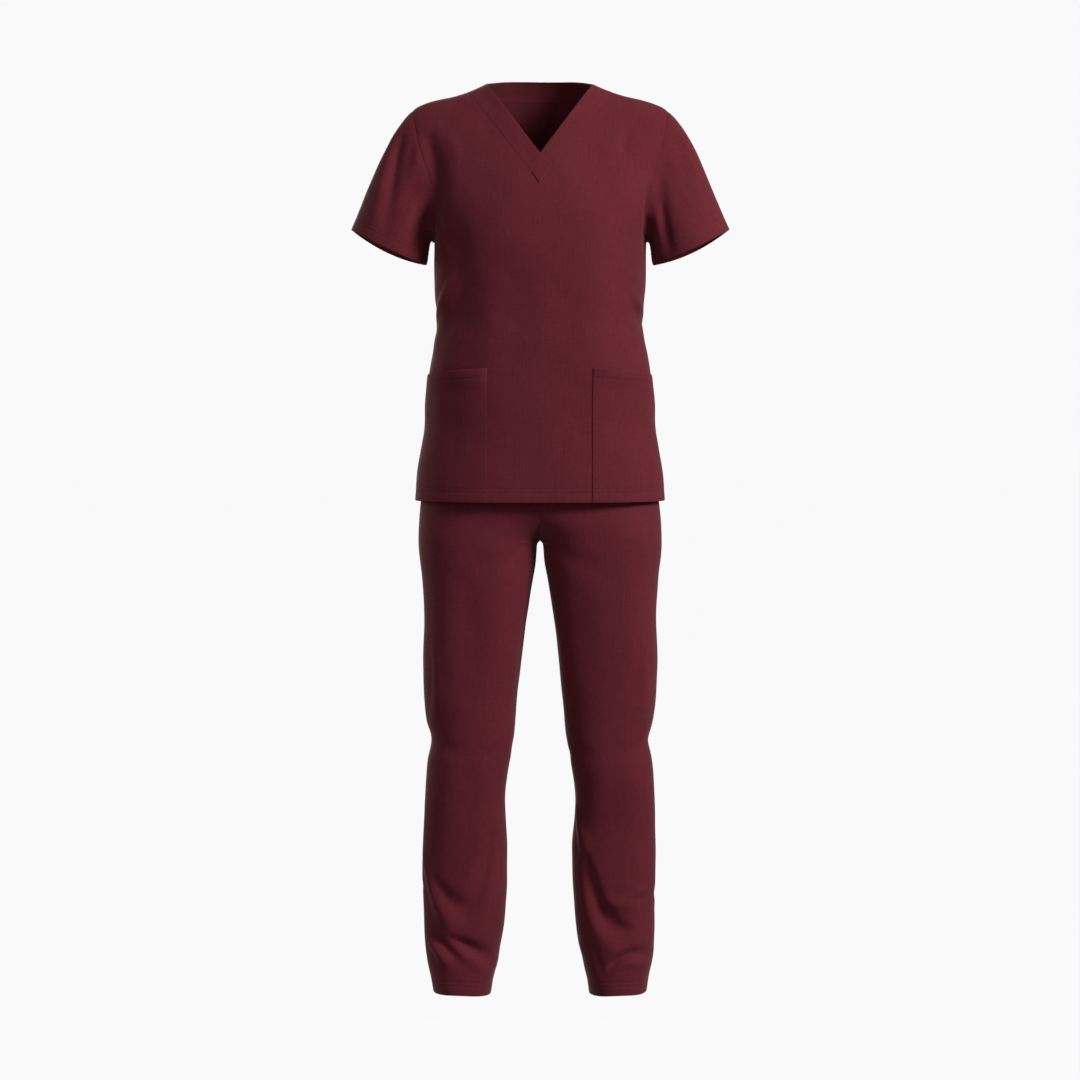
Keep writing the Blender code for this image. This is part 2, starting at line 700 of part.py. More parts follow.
for leftover in list(bpy.data.objects):
    bpy.data.objects.remove(leftover)
collection = bpy.data.collections.new("scrubs_set")
bpy.context.scene.collection.children.link(collection)
make_top()
make_sleeves()
make_neckband()
make_trousers()
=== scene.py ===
"""Medical scrubs set: a short-sleeved V-neck top with two patch pockets, and straight trousers.

The set keeps the shape of a wearer, with nobody in it. The front faces -Y and +X is the wearer's
left. Lengths are in millimetres until a mesh is made, and angles are in degrees.
"""

import bpy
import numpy as np
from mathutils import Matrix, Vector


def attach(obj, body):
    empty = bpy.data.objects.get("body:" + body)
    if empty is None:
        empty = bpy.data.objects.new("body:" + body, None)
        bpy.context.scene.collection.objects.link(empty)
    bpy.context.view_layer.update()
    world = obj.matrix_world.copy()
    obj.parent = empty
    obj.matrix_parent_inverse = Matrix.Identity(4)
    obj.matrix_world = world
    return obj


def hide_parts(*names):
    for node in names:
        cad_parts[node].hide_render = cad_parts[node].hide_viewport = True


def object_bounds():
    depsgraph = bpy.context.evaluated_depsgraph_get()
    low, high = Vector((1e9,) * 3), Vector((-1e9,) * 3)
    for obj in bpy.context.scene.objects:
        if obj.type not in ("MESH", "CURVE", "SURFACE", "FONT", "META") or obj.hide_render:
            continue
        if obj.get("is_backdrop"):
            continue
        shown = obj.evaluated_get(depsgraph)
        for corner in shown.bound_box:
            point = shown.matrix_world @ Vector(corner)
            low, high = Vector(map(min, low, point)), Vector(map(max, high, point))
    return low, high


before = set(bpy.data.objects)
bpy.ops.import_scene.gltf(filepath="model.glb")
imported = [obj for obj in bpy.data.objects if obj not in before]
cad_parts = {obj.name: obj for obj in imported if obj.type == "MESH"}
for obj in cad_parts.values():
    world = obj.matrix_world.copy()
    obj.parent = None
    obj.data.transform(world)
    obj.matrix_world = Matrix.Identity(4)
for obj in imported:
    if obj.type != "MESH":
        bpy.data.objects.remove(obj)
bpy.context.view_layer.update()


# ---- Camera ----
# A long lens five metres away. It looks down on the set by three degrees, at the middle between
# the shoulders and the trouser hems.

CAMERA_DISTANCE = 5.0
CAMERA_ELEVATION = 3.0
AIMED_AT = -0.7295
SENSOR = 36.0
LENS = 103.47

slope = np.radians(CAMERA_ELEVATION)
camera_place = (0, -CAMERA_DISTANCE * np.cos(slope), AIMED_AT + CAMERA_DISTANCE * np.sin(slope))
bpy.ops.object.camera_add(location=camera_place, rotation=(np.radians(90) - slope, 0, 0))
camera = bpy.context.object
camera.name = "camera"
camera.data.sensor_width = SENSOR
camera.data.lens = LENS
bpy.context.scene.camera = camera


# ---- Front of the top ----
# One piece of dyed cotton and polyester in a plain weave, cut on the fold of its middle. A V is
# cut out for the neckband, and the hem is turned in and sewn with twin needles.

MM = 0.001
SINGLE = 0.8                # thickness of one layer of cloth
UNDERARM = -253.0           # height at which the side seam meets the armhole
HEM = -665.0
V_SEAM = -163.5             # bottom of the seam between neckband and front
BAND_CORNER = 116.0         # from the middle to that seam's end on the shoulder
BODY_CORNER = 0.07          # how full a section is at its corners, over an ellipse
CELL = 3.3                  # size of the mesh's cells
EDGE_STEPS = (0.0, 0.9, 2.0, 3.6)
HEM_STEPS = (0, 0.9, 2.4, 5, 8, 11, 13.4, 14.4, 15.4, 16.4, 18.2,
             20.1, 21.1, 22.1, 23.4, 25.5, 28.5)
HEM_STITCHES = (15.0, 21.3)  # the twin needles' lines, above the edge
SEAM_DIP = 0.5              # how deep a seam lies
NECK_DIP = 0.15             # the same where the neckband is sewn on
SEAM_REACH = 1.9            # how far from the seam the cloth turns down to it
STITCH_PITCH = 2.9          # from the start of one stitch to the next
STITCH_LENGTH = 2.2
THREAD_RADIUS = 0.3
RIGHT_SIDE_LOWER = 14.0     # how much lower the side creases lie on the wearer's right
RIGHT_SIDE_WIDER = 1.15     # and how much wider and shallower they are there
RIGHT_SIDE_SHALLOWER = 0.8
HALF_FRONT = 200.0          # length by which the columns of half the front are spaced
MEASURED_AT = 62.0          # angle along which the rows are spaced
FAR = 1e3                   # a distance at which a seam has no effect


def table(names, *rows):
    """A short table as a dictionary of columns, with the slope of each column at each row."""
    columns = dict(zip(names.split(), np.array(rows, dtype=float).T))
    keys = columns[names.split()[0]]
    slopes = {name: np.gradient(values, keys) for name, values in columns.items()}
    return {"keys": keys, "values": columns, "slopes": slopes}


def read(rows, name, place):
    """One column of a table at any place along its first column, on a smooth curve."""
    keys = rows["keys"]
    values = rows["values"][name]
    slopes = rows["slopes"][name]
    place = np.clip(place, keys[0], keys[-1])
    low = np.clip(np.searchsorted(keys, place, side="right") - 1, 0, len(keys) - 2)
    step = keys[low + 1] - keys[low]
    t = (place - keys[low]) / step
    from_values = values[low] + (values[low + 1] - values[low]) * t * t * (3 - 2 * t)
    from_slopes = t * (1 - t) * step * (slopes[low] * (1 - t) - slopes[low + 1] * t)
    return from_values + from_slopes


# Sections of the top, from the hem to the shoulder
BODY = table(
    "level half_width front back",
    (-665, 200, 116, 122),
    (-618, 195, 115, 120),
    (-586, 189, 114, 118),
    (-554, 183.5, 113, 116),
    (-506, 182, 113, 114),
    (-474, 179, 113, 112),
    (-442, 175, 113, 110),
    (-410, 170, 113, 108),
    (-378, 164.5, 113, 107),
    (-346, 167, 114, 109),
    (-300, 169, 115, 113),
    (-245, 169.5, 115, 117),
    (-216, 173, 113.5, 117),
    (-184, 183, 107, 119),
    (-122, 207, 87, 121.5),
    (-61, 232.5, 77, 121),
    (0, 251.5, 73, 117.5),
)

# The shoulder seam's height, with its line run on to the middle of the neck and over the shoulder
SHOULDER = table(
    "across height",
    (0, 44),
    (35, 36),
    (62, 17),
    (85, 0.5),
    (102, -7.5),
    (117, -13.5),
    (134, -19),
    (163, -26),
    (184, -32.5),
    (197, -38.5),
    (206, -45.5),
    (222, -60),
    (250, -92),
)

# Where the armhole crosses the sections, by how far each one has turned from underarm to shoulder
ARMHOLE = table(
    "turn angle",
    (0, 0),
    (10, 10.5),
    (20, 20),
    (30, 27),
    (45, 34),
    (60, 38),
    (75, 40),
    (90, 40.5),
)

# Creases of the front, each along three points. Below 0 it is a trough, above 0 a ridge.
FRONT_CREASES = (
    # from x, z   by x, z       to x, z       reach depth
    (-176, -92, -165, -162, -166, -232, 17, -9.0),
    (-142, -90, -132, -124, -124, -166, 15, 2.0),
    (-168, -206, -150, -244, -128, -268, 9, -2.2),
    (172, -168, 168, -212, 165, -262, 9, -5.0),
    (141, -78, 133, -106, 131, -130, 12, -2.6),
    (150, -186, 134, -206, 112, -216, 13, -1.8),
    (-139, -309, -155, -350, -166, -388, 9, 3.6),
    (-122, -330, -142, -382, -160, -424, 14, -3.2),
    (147, -330, 158, -357, 167, -381, 9, 3.4),
    (166, -302, 153, -322, 138, -336, 10, -2.4),
    (-132, -226, -124, -345, -100, -480, 30, -6.0),
    (136, -250, 128, -350, 118, -440, 30, -2.2),
    (-60, -214, -12, -226, 40, -216, 24, -1.2),
    (-30, -300, -36, -400, -22, -540, 34, -1.6),
    (44, -330, 40, -450, 52, -600, 32, -1.2),
    (-150, -478, -140, -540, -146, -610, 16, -1.6),
    (118, -486, 124, -560, 116, -620, 18, -1.4),
)
# Creases over the sides, along angles from the side seam and heights
SIDE_CREASES = (
    (-30, -366, 0, -379, 26, -368, 10, -1.5),
    (-40, -330, -20, -344, 4, -350, 11, -1.3),
    (-36, -414, -14, -406, 12, -412, 12, -1.2),
    (-30, -272, -24, -310, -28, -352, 14, -2.0),
    (-26, -480, -18, -540, -24, -610, 18, -2.2),
)


def section(angle, corner):
    """Across and deep, as parts of half width and depth, for an ellipse with full corners."""
    turned = np.radians(angle)
    fuller = 1 + corner * np.sin(2 * turned) ** 2
    return np.cos(turned) * fuller, np.sin(turned) * fuller


def angle_across(across, corner):
    """The angle at which a section has come that far across."""
    turned = np.arccos(np.clip(across, -1, 1))
    for _ in range(60):
        turned = np.arccos(np.clip(across / (1 + corner * np.sin(2 * turned) ** 2), -1, 1))
    return np.degrees(turned)


def body(turn, angle):
    """The top's surface on the wearer's left. A turn from 0 to 90 climbs from the underarm to the
    shoulder seam, and one below 0 goes down to the hem at -90. The side seam is at angle 0, the
    middle of the front at 90 and the middle of the back at -90."""
    climb = np.where(turn > 0, np.sin(np.radians(turn)) ** 2, 0)
    level = np.where(turn > 0, UNDERARM * (1 - climb), UNDERARM + (UNDERARM - HEM) * turn / 90)
    rounding = np.where(turn > 0, np.cos(np.radians(turn)) * np.sqrt(1 + climb), 1)
    across, deep = section(angle, BODY_CORNER)
    x = read(BODY, "half_width", level) * across
    depth = np.where(angle >= 0, read(BODY, "front", level), read(BODY, "back", level))
    shoulder = read(SHOULDER, "height", np.abs(x))
    z = np.where(turn > 0, UNDERARM + (shoulder - UNDERARM) * climb, level)
    return np.stack(np.broadcast_arrays(x, -depth * rounding * deep, z), axis=-1).astype(float)


def turn_at(x, height):
    """The turn of the section that passes through a point of the top."""
    climb = (height - UNDERARM) / (read(SHOULDER, "height", np.abs(x)) - UNDERARM)
    above = np.degrees(np.arcsin(np.sqrt(np.clip(climb, 0, 1))))
    return np.where(height > UNDERARM, above, 90 * (height - UNDERARM) / (UNDERARM - HEM))


def angle_at(turn, x):
    """The angle at which a section of the top comes to a distance from the middle."""
    level = UNDERARM * np.cos(np.radians(turn)) ** 2
    level = np.where(turn > 0, level, UNDERARM + (UNDERARM - HEM) * turn / 90)
    return angle_across(np.abs(x) / read(BODY, "half_width", level), BODY_CORNER)


def normals_of(surface, first, second, step_first=0.5, step_second=0.5):
    """Unit normals of a surface given by two coordinates, by small steps to both sides."""
    along = surface(first + step_first, second) - surface(first - step_first, second)
    aside = surface(first, second + step_second) - surface(first, second - step_second)
    normal = np.cross(along, aside)
    return normal / np.linalg.norm(normal, axis=-1, keepdims=True)


def lengths(points, axis):
    """How far each point of a grid is from the first row or column, along the grid's own lines."""
    steps = np.linalg.norm(np.diff(points, axis=axis), axis=-1)
    return np.concatenate([np.zeros_like(steps.take([0], axis)), np.cumsum(steps, axis)], axis)


def spaced(length, first, last):
    """Places from 0 to 1 along a length, close together at each end where steps are given."""
    inner = np.arange(first[-1] + CELL, length - last[-1] - CELL / 2, CELL)
    inner = np.linspace(first[-1], length - last[-1], len(inner) + 2)[1:-1]
    return np.concatenate([first, inner, length - np.array(last[::-1])]) / length


def three_points(row):
    """A smooth line through a crease's three points, as two lists of coordinates."""
    t = np.linspace(0, 1, 17)
    start, middle, end = 2 * (t - 0.5) * (t - 1), 4 * t * (1 - t), 2 * t * (t - 0.5)
    return tuple(row[k] * start + row[k + 2] * middle + row[k + 4] * end for k in (0, 1))


def crease(points, normals, line, reach, depth):
    """Presses one crease into a grid along a line that lies on the cloth. It is tight where it
    starts, opens and fades towards its end, and pushes the cloth up again on one side."""
    near = np.all(points > line.min(axis=0) - 4 * reach, axis=-1)
    near &= np.all(points < line.max(axis=0) + 4 * reach, axis=-1)
    places, ups = points[near], normals[near]
    if len(places) == 0:
        return
    nearest = np.full(len(places), 1e9)
    part = np.zeros(len(places))
    aside = np.zeros(len(places))
    for i, (a, b) in enumerate(zip(line[:-1], line[1:])):
        run = b - a
        t = np.clip((places - a) @ run / (run @ run), 0, 1)
        off = places - a - t[:, None] * run
        distance = np.linalg.norm(off, axis=-1)
        across = np.cross(run, ups)
        across /= np.linalg.norm(across, axis=-1, keepdims=True)
        closer = distance < nearest
        nearest = np.where(closer, distance, nearest)
        part = np.where(closer, (i + t) / (len(line) - 1), part)
        aside = np.where(closer, np.sum(off * across, axis=-1), aside)
    width = reach * (0.7 + 0.6 * part)
    beyond = np.clip(nearest ** 2 - aside ** 2, 0, None)
    pressed = np.exp(-(nearest / width) ** 2)
    pushed_up = 0.35 * np.exp(-(aside / width - 1.6) ** 2 - beyond / width ** 2)
    fades = np.sin(np.pi * (0.14 + 0.8 * part))
    points[near] += ups * (depth * fades * (pressed - pushed_up))[:, None]


def unevenness(points):
    """The cloth's slight rise and fall everywhere, the same on both sides of each seam."""
    x, y, z = points[..., 0], points[..., 1], points[..., 2]
    waves = 0.45 * np.sin(x / 31 + z / 47 + 1.3) + 0.4 * np.sin(y / 23 - z / 38 + 0.4)
    waves += 0.3 * np.sin(z / 21 + x / 60 + 2.2) + 0.35 * np.sin((x + y) / 17 + z / 90)
    return waves + 0.16 * np.sin(z / 9.5 + x / 13) * np.sin(y / 19 + x / 33)


def line_at(points, normals, away, distance):
    """The line through a grid's columns at one distance from an edge, as points and normals."""
    columns = range(points.shape[1])
    return [np.array([[np.interp(distance, away[:, j], grid[:, j, k]) for k in range(3)]
                      for j in columns]) for grid in (points, normals)]


def add_piece(name, mesh, material):
    """Makes an object of a mesh, and the only one selected."""
    bpy.ops.object.select_all(action="DESELECT")
    piece = bpy.data.objects.new(name, mesh)
    bpy.context.collection.objects.link(piece)
    bpy.context.view_layer.objects.active = piece
    piece.select_set(True)
    mesh.materials.append(material)
    return piece


def cloth_piece(name, grids, material):
    """Makes one cut piece. Each grid has the points of the cloth's outer face, their normals,
    the grain's coordinates and how many layers thick the cloth is. Where grids meet they join."""
    vertices = []
    grain = []
    layers = []
    quads = []
    for points, normals, u, v, thick in grids:
        index = len(vertices) + np.arange(points[..., 0].size).reshape(points.shape[:2])
        diagonals = np.cross(points[1:, 1:] - points[:-1, :-1], points[1:, :-1] - points[:-1, 1:])
        corners = [index[:-1, :-1], index[:-1, 1:], index[1:, 1:], index[1:, :-1]]
        if np.sum(diagonals * normals[:-1, :-1]) < 0:
            corners.reverse()
        quads += np.stack(corners, axis=-1).reshape(-1, 4).tolist()
        vertices += (points.reshape(-1, 3) * MM).tolist()
        u, v, thick = np.broadcast_arrays(u, v, thick, points[..., 0])[:3]
        grain += (np.stack([u, v], axis=-1).reshape(-1, 2) * MM).tolist()
        layers += thick.ravel().tolist()
    mesh = bpy.data.meshes.new(name)
    mesh.from_pydata(vertices, [], quads)
    mesh.uv_layers.new(name="grain")
    corners = np.array(quads).ravel()
    mesh.uv_layers["grain"].data.foreach_set("uv", np.array(grain)[corners].ravel())
    piece = add_piece(name + "_cloth", mesh, material)
    most = max(layers)
    group = piece.vertex_groups.new(name="layers")
    for count in sorted(set(layers)):
        group.add(np.flatnonzero(np.array(layers) == count).tolist(), count / most, "REPLACE")
    bpy.ops.object.mode_set(mode="EDIT")
    bpy.ops.mesh.select_all(action="SELECT")
    bpy.ops.mesh.remove_doubles(threshold=0.02 * MM)
    bpy.ops.object.mode_set(mode="OBJECT")
    wall = piece.modifiers.new("wall", "SOLIDIFY")
    wall.thickness = SINGLE * most * MM
    wall.offset = -1
    wall.vertex_group = "layers"
    bpy.ops.object.modifier_apply(modifier="wall")
    bpy.ops.object.shade_smooth_by_angle(angle=np.radians(50))
    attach(piece, "root")
    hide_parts(name)
    return piece


def linear(code):
    """The linear colour of an sRGB hex code."""
    parts = [int(code[i:i + 2], 16) / 255 for i in (0, 2, 4)]
    return [p / 12.92 if p <= 0.04045 else ((p + 0.055) / 1.055) ** 2.4 for p in parts] + [1.0]


def node(tree, kind, inputs, **settings):
    """Adds a node with its settings. An input is given a value, or another node's output."""
    made = tree.nodes.new(kind)
    for name, value in settings.items():
        setattr(made, name, value)
    for name, value in inputs.items():
        if isinstance(value, bpy.types.NodeSocket):
            tree.links.new(value, made.inputs[name])
        else:
            made.inputs[name].default_value = value
    return made


def woven_cloth(name, shade, light):
    """Piece-dyed cotton and polyester, plain woven from slightly uneven yarn. It is matt, with
    thin streaks both ways where a yarn is thick, and a pale bloom of fibre ends where it turns
    away."""
    material = bpy.data.materials.new(name)
    material.use_nodes = True
    tree = material.node_tree
    shader = tree.nodes["Principled BSDF"]
    grain = node(tree, "ShaderNodeUVMap", {}, uv_map="grain").outputs["UV"]
    # The real yarns are 0.35 mm apart, too fine to show, so they are drawn 1.2 mm apart.
    streaks = []
    for across, along in ((1.2, 15), (14, 1.2), (2.4, 60), (46, 2.6)):
        inputs = {"Vector": grain, "Scale": (1 / (across * MM), 1 / (along * MM), 1)}
        place = node(tree, "ShaderNodeMapping", inputs).outputs["Vector"]
        inputs = {"Vector": place, "Scale": 1.0, "Detail": 1.5, "Roughness": 0.55}
        streaks.append(node(tree, "ShaderNodeTexNoise", inputs).outputs["Fac"])
    fine = node(tree, "ShaderNodeMath", {0: streaks[0], 1: streaks[1]}, operation="ADD").outputs[0]
    inputs = {0: streaks[3], 1: 0.5, 2: streaks[2]}
    slubs = node(tree, "ShaderNodeMath", inputs, operation="MULTIPLY_ADD").outputs[0]
    # The dye has taken a little unevenly, in clouds about 70 by 110 mm.
    inputs = {"Vector": grain, "Scale": (14, 9, 1)}
    place = node(tree, "ShaderNodeMapping", inputs).outputs["Vector"]
    inputs = {"Vector": place, "Scale": 1.0, "Detail": 3.0}
    cloudy = node(tree, "ShaderNodeTexNoise", inputs).outputs["Fac"]
    inputs = {0: fine, 1: 1.1, 2: slubs}
    yarns = node(tree, "ShaderNodeMath", inputs, operation="MULTIPLY_ADD").outputs[0]
    inputs = {0: cloudy, 1: 0.7, 2: yarns}
    dyed = node(tree, "ShaderNodeMath", inputs, operation="MULTIPLY_ADD").outputs[0]
    # The sum lies about 2.2, between 1.5 and 2.9.
    inputs = {"Value": dyed, "From Min": 1.15, "From Max": 3.2}
    factor = node(tree, "ShaderNodeMapRange", inputs).outputs["Result"]
    inputs = {"Factor": factor, "A": linear(shade), "B": linear(light)}
    color = node(tree, "ShaderNodeMix", inputs, data_type="RGBA")
    inputs = {"Height": fine, "Strength": 0.3, "Distance": 0.4 * MM}
    relief = node(tree, "ShaderNodeBump", inputs).outputs["Normal"]
    tree.links.new(color.outputs["Result"], shader.inputs["Base Color"])
    tree.links.new(relief, shader.inputs["Normal"])
    shader.inputs["Roughness"].default_value = 0.88
    shader.inputs["IOR"].default_value = 1.5
    shader.inputs["Specular IOR Level"].default_value = 0.25
    shader.inputs["Sheen Weight"].default_value = 0.3
    shader.inputs["Sheen Roughness"].default_value = 0.38
    shader.inputs["Sheen Tint"].default_value = linear("D9B6B8")
    return material


def sewing_thread():
    """Core-spun polyester thread, dyed to the cloth: a little smoother and lighter than it."""
    material = bpy.data.materials.new("dyed_polyester_thread")
    material.use_nodes = True
    tree = material.node_tree
    shader = tree.nodes["Principled BSDF"]
    # The plies' twist is 0.5 mm long, drawn at 1 mm.
    place = node(tree, "ShaderNodeTexCoord", {}).outputs["Object"]
    twist = node(tree, "ShaderNodeTexNoise", {"Vector": place, "Scale": 1000.0, "Detail": 1.0})
    inputs = {"Factor": twist.outputs["Fac"], "A": linear("4A1820"), "B": linear("7A3640")}
    color = node(tree, "ShaderNodeMix", inputs, data_type="RGBA")
    tree.links.new(color.outputs["Result"], shader.inputs["Base Color"])
    shader.inputs["Roughness"].default_value = 0.6
    return material


def stitches(name, lines):
    """Makes the stitches of one group of lines as one piece. Each stitch is a short thread that
    dips into the cloth at both ends."""
    vertices = []
    for points, normals in lines:
        along = np.concatenate([[0], np.cumsum(np.linalg.norm(np.diff(points, axis=0), axis=-1))])
        starts = np.arange(STITCH_PITCH / 2, along[-1] - STITCH_PITCH, STITCH_PITCH)
        for part, rise, thick in ((0, -0.1, 0.7), (0.5, 0.22, 1), (1, -0.1, 0.7)):
            at = starts + STITCH_LENGTH * part
            middle = np.stack([np.interp(at, along, points[:, k]) for k in range(3)], axis=-1)
            ahead = np.stack([np.interp(at + 0.5, along, points[:, k]) for k in range(3)], axis=-1)
            up = np.stack([np.interp(at, along, normals[:, k]) for k in range(3)], axis=-1)
            aside = np.cross(ahead - middle, up)
            aside /= np.linalg.norm(aside, axis=-1, keepdims=True) + 1e-9
            ring = [middle + up * rise + (aside * a + up * b) * THREAD_RADIUS * thick
                    for a, b in ((1, 0), (0, 1), (-1, 0), (0, -1))]
            vertices.append(np.stack(ring, axis=1))
    starts = range(0, len(vertices), 3)
    rings = [np.stack(vertices[i:i + 3], axis=1).reshape(-1, 12, 3) for i in starts]
    rings = np.concatenate(rings)
    sides = [(4 * r + s, 4 * r + (s + 1) % 4, 4 * r + 4 + (s + 1) % 4, 4 * r + 4 + s)
             for r in (0, 1) for s in range(4)]
    faces = np.array(sides + [(3, 2, 1, 0), (8, 9, 10, 11)])
    faces = (np.arange(len(rings))[:, None, None] * 12 + faces[None]).reshape(-1, 4)
    mesh = bpy.data.meshes.new(name)
    mesh.from_pydata((rings.reshape(-1, 3) * MM).tolist(), [], faces.tolist())
    piece = add_piece(name, mesh, thread)
    bpy.ops.object.mode_set(mode="EDIT")
    bpy.ops.mesh.select_all(action="SELECT")
    bpy.ops.mesh.normals_make_consistent(inside=False)
    bpy.ops.object.mode_set(mode="OBJECT")
    bpy.ops.object.shade_smooth()
    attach(piece, "root")
    return piece


def dip(points, normals, away, depth=SEAM_DIP, reach=SEAM_REACH):
    """Turns the cloth down along a line, by the distances of a grid's points from it."""
    points -= normals * (depth * np.exp(-(away / reach) ** 2))[..., None]


def on_top(row, side):
    """The line of a crease on the top's front (side 1) or back (side -1)."""
    x, z = three_points(row)
    turn = turn_at(x, z)
    line = body(turn, side * angle_at(turn, x))
    line[:, 0] *= np.where(x < 0, -1, 1)
    return line


def press_top(points, normals, rows, side):
    """Presses the creases of one face of the top and of its two sides into a grid."""
    for row in rows:
        crease(points, normals, on_top(row, side), *row[6:])
    for row in SIDE_CREASES:        # below the underarm, where the turn is the same at any x
        angle, z = three_points(row)
        line = body(turn_at(0.0, z), angle)
        crease(points, normals, line, *row[6:])
        line = other_side(line) - (0, 0, RIGHT_SIDE_LOWER)
        crease(points, normals, line, row[6] * RIGHT_SIDE_WIDER, row[7] * RIGHT_SIDE_SHALLOWER)
    points += normals * unevenness(points)[..., None]


def finish_hem(points, normals, away):
    """Two stitched lines lie in the cloth above a hem, and its folded edge is rounded."""
    for distance in HEM_STITCHES:
        dip(points, normals, away - distance, depth=0.42, reach=1.3)
    dip(points, normals, away, depth=0.5, reach=0.8)
    return np.where(away < HEM_STITCHES[-1] + 1, 2, 1)


def hemmed_piece(name, grids):
    """Makes a cut piece with a turned hem along its first row, and the hem's stitches."""
    piece = cloth_piece(name, grids, scrub_cloth)
    lines = [line_at(points, normals, v, distance)
             for points, normals, u, v, layers in grids for distance in HEM_STITCHES]
    hem_stitches = stitches(name + "_stitches", lines)


def same_side(grid):
    return grid


def other_side(grid):
    return grid * (-1, 1, 1)


scrub_cloth = woven_cloth("dyed_plain_woven_cotton_polyester", "4A0F18", "6F212E")
thread = sewing_thread()

tip_turn = float(turn_at(0.0, V_SEAM))
finely = np.linspace(0, 90, 901)
climbed = lengths(body(finely, np.full(len(finely), MEASURED_AT)), 0)
tip_climb = np.interp(tip_turn, finely, climbed)
above_tip = climbed[-1] - tip_climb
to_tip = spaced(tip_climb, (0,), (0,)) * tip_climb
to_shoulder = tip_climb + spaced(above_tip, (0,), EDGE_STEPS) * above_tip
upper_turns = np.interp(np.concatenate([to_tip[:-1], to_shoulder]), climbed, finely)
lower_turns = 90 * (spaced(UNDERARM - HEM, HEM_STEPS, (0,)) - 1)
top_turns = np.concatenate([lower_turns[:-1], upper_turns])
tip_row = len(lower_turns) + len(to_tip) - 2

# The straight seam of the V, found on each section by halving
seam_top = float(read(SHOULDER, "height", BAND_CORNER))
low, high = np.zeros(len(top_turns)), np.full(len(top_turns), 90.0)
for _ in range(40):
    halfway = (low + high) / 2
    at = body(top_turns, halfway)
    inside_seam = at[:, 0] < BAND_CORNER * (at[:, 2] - V_SEAM) / (seam_top - V_SEAM)
    low, high = np.where(inside_seam, low, halfway), np.where(inside_seam, halfway, high)
inner_angles = np.where(np.arange(len(top_turns)) <= tip_row, 90, (low + high) / 2)

outer_angles = np.where(top_turns > 0, read(ARMHOLE, "angle", top_turns), 0)
share = spaced(HALF_FRONT, EDGE_STEPS, EDGE_STEPS)
angles = inner_angles[:, None] + (outer_angles - inner_angles)[:, None] * share
turns = top_turns[:, None] + np.zeros_like(angles)
surface = body(turns, angles)
surface[:tip_row + 1, 0, 0] = 0
outward = normals_of(body, turns, angles)
outward[:tip_row + 1, 0, 0] = 0

front_halves = []
for mirror, sign in ((same_side, 1), (other_side, -1)):
    points, normals = mirror(surface).copy(), mirror(outward)
    u = lengths(points, 1) + points[:, :1, 0] * sign
    v = lengths(points, 0)
    press_top(points, normals, FRONT_CREASES, 1)
    points += normals * SINGLE / 2
    across = lengths(points, 1)
    from_band = np.where(np.arange(len(top_turns))[:, None] >= tip_row, across, FAR)
    dip(points, normals, from_band, NECK_DIP, reach=1.4)
    dip(points, normals, across[:, -1:] - across)
    dip(points, normals, v[-1:] - v)
    layers = finish_hem(points, normals, v)
    front_halves.append((points, normals, u * sign, v, layers))
hemmed_piece("top_front", front_halves)


# ---- Back of the top ----
# One piece of the same cloth, cut on the fold of its middle. It meets the front at the side seams
# and shoulders, and is a little fuller, with soft folds below the shoulder blades.

BACK_SEAM = -22.0           # middle of the seam with the back neckband
BACK_SEAM_CURVE = 2.5       # power by which that seam rises from its middle to the shoulder
NECK_ALLOWANCE = 30.0       # height over which the seam's layers run out below the neckband
NECK_COLUMNS = 38
HALF_BACK = 205.0           # length by which the last columns of half the back are spaced
SHOULDER_SEAM = 56.0        # and the columns along the shoulder
BACK_CREASES = (
    (-158, -92, -146, -158, -158, -226, 11, -4.6),
    (156, -100, 143, -166, 156, -230, 12, -5.4),
    (-104, -120, -96, -232, -80, -350, 24, -3.0),
    (100, -132, 86, -246, 76, -376, 26, -3.4),
    (-112, -392, -44, -402, 30, -394, 12, -2.4),
    (120, -366, 66, -379, 4, -372, 13, -2.6),
    (-140, -352, -92, -366, -40, -364, 11, -2.0),
    (-20, -416, 32, -422, 92, -412, 13, -1.6),
    (-60, -440, -72, -540, -60, -640, 26, -2.6),
    (52, -450, 66, -548, 58, -650, 26, -2.4),
    (-132, -450, -140, -548, -134, -640, 20, -2.2),
    (126, -448, 136, -540, 128, -636, 22, -2.4),
    (-34, -60, -2, -72, 32, -62, 16, -1.0),
)


def back_seam(share):
    """The seam between the back and its neckband, from the middle to the shoulder."""
    shoulder = float(read(SHOULDER, "height", BAND_CORNER))
    x = BAND_CORNER * share
    return x, turn_at(x, BACK_SEAM + (shoulder - BACK_SEAM) * share ** BACK_SEAM_CURVE)


neck_shares = np.sin(np.linspace(0, np.pi / 2, NECK_COLUMNS))
seam_x, seam_turn = back_seam(neck_shares)
seam_angle = angle_at(seam_turn, seam_x)
to_armhole = read(ARMHOLE, "angle", 90.0) - seam_angle[-1]
shoulder_angles = seam_angle[-1] + to_armhole * spaced(SHOULDER_SEAM, (0,), EDGE_STEPS)
top_edge_turn = np.concatenate([seam_turn, np.full(len(shoulder_angles) - 1, 90.0)])
top_edge_angle = np.concatenate([seam_angle, shoulder_angles[1:]])
u = np.linspace(0, 1, len(top_edge_turn))
u[-4:] = 1 - np.array(EDGE_STEPS[::-1]) / HALF_BACK
u[:-4] = np.linspace(0, u[-4], len(u) - 3)[:-1]
v = (upper_turns / 90)[:, None]
turns = v * top_edge_turn
angles = v * top_edge_angle + (1 - v) * (1 - u) * 90
angles += u * (read(ARMHOLE, "angle", upper_turns)[:, None] - v * top_edge_angle[-1])
lower = np.broadcast_to(lower_turns[:-1, None], (len(lower_turns) - 1, len(u)))
turns = np.vstack([lower, turns])
angles = -np.vstack([np.broadcast_to(90 * (1 - u), lower.shape), angles])
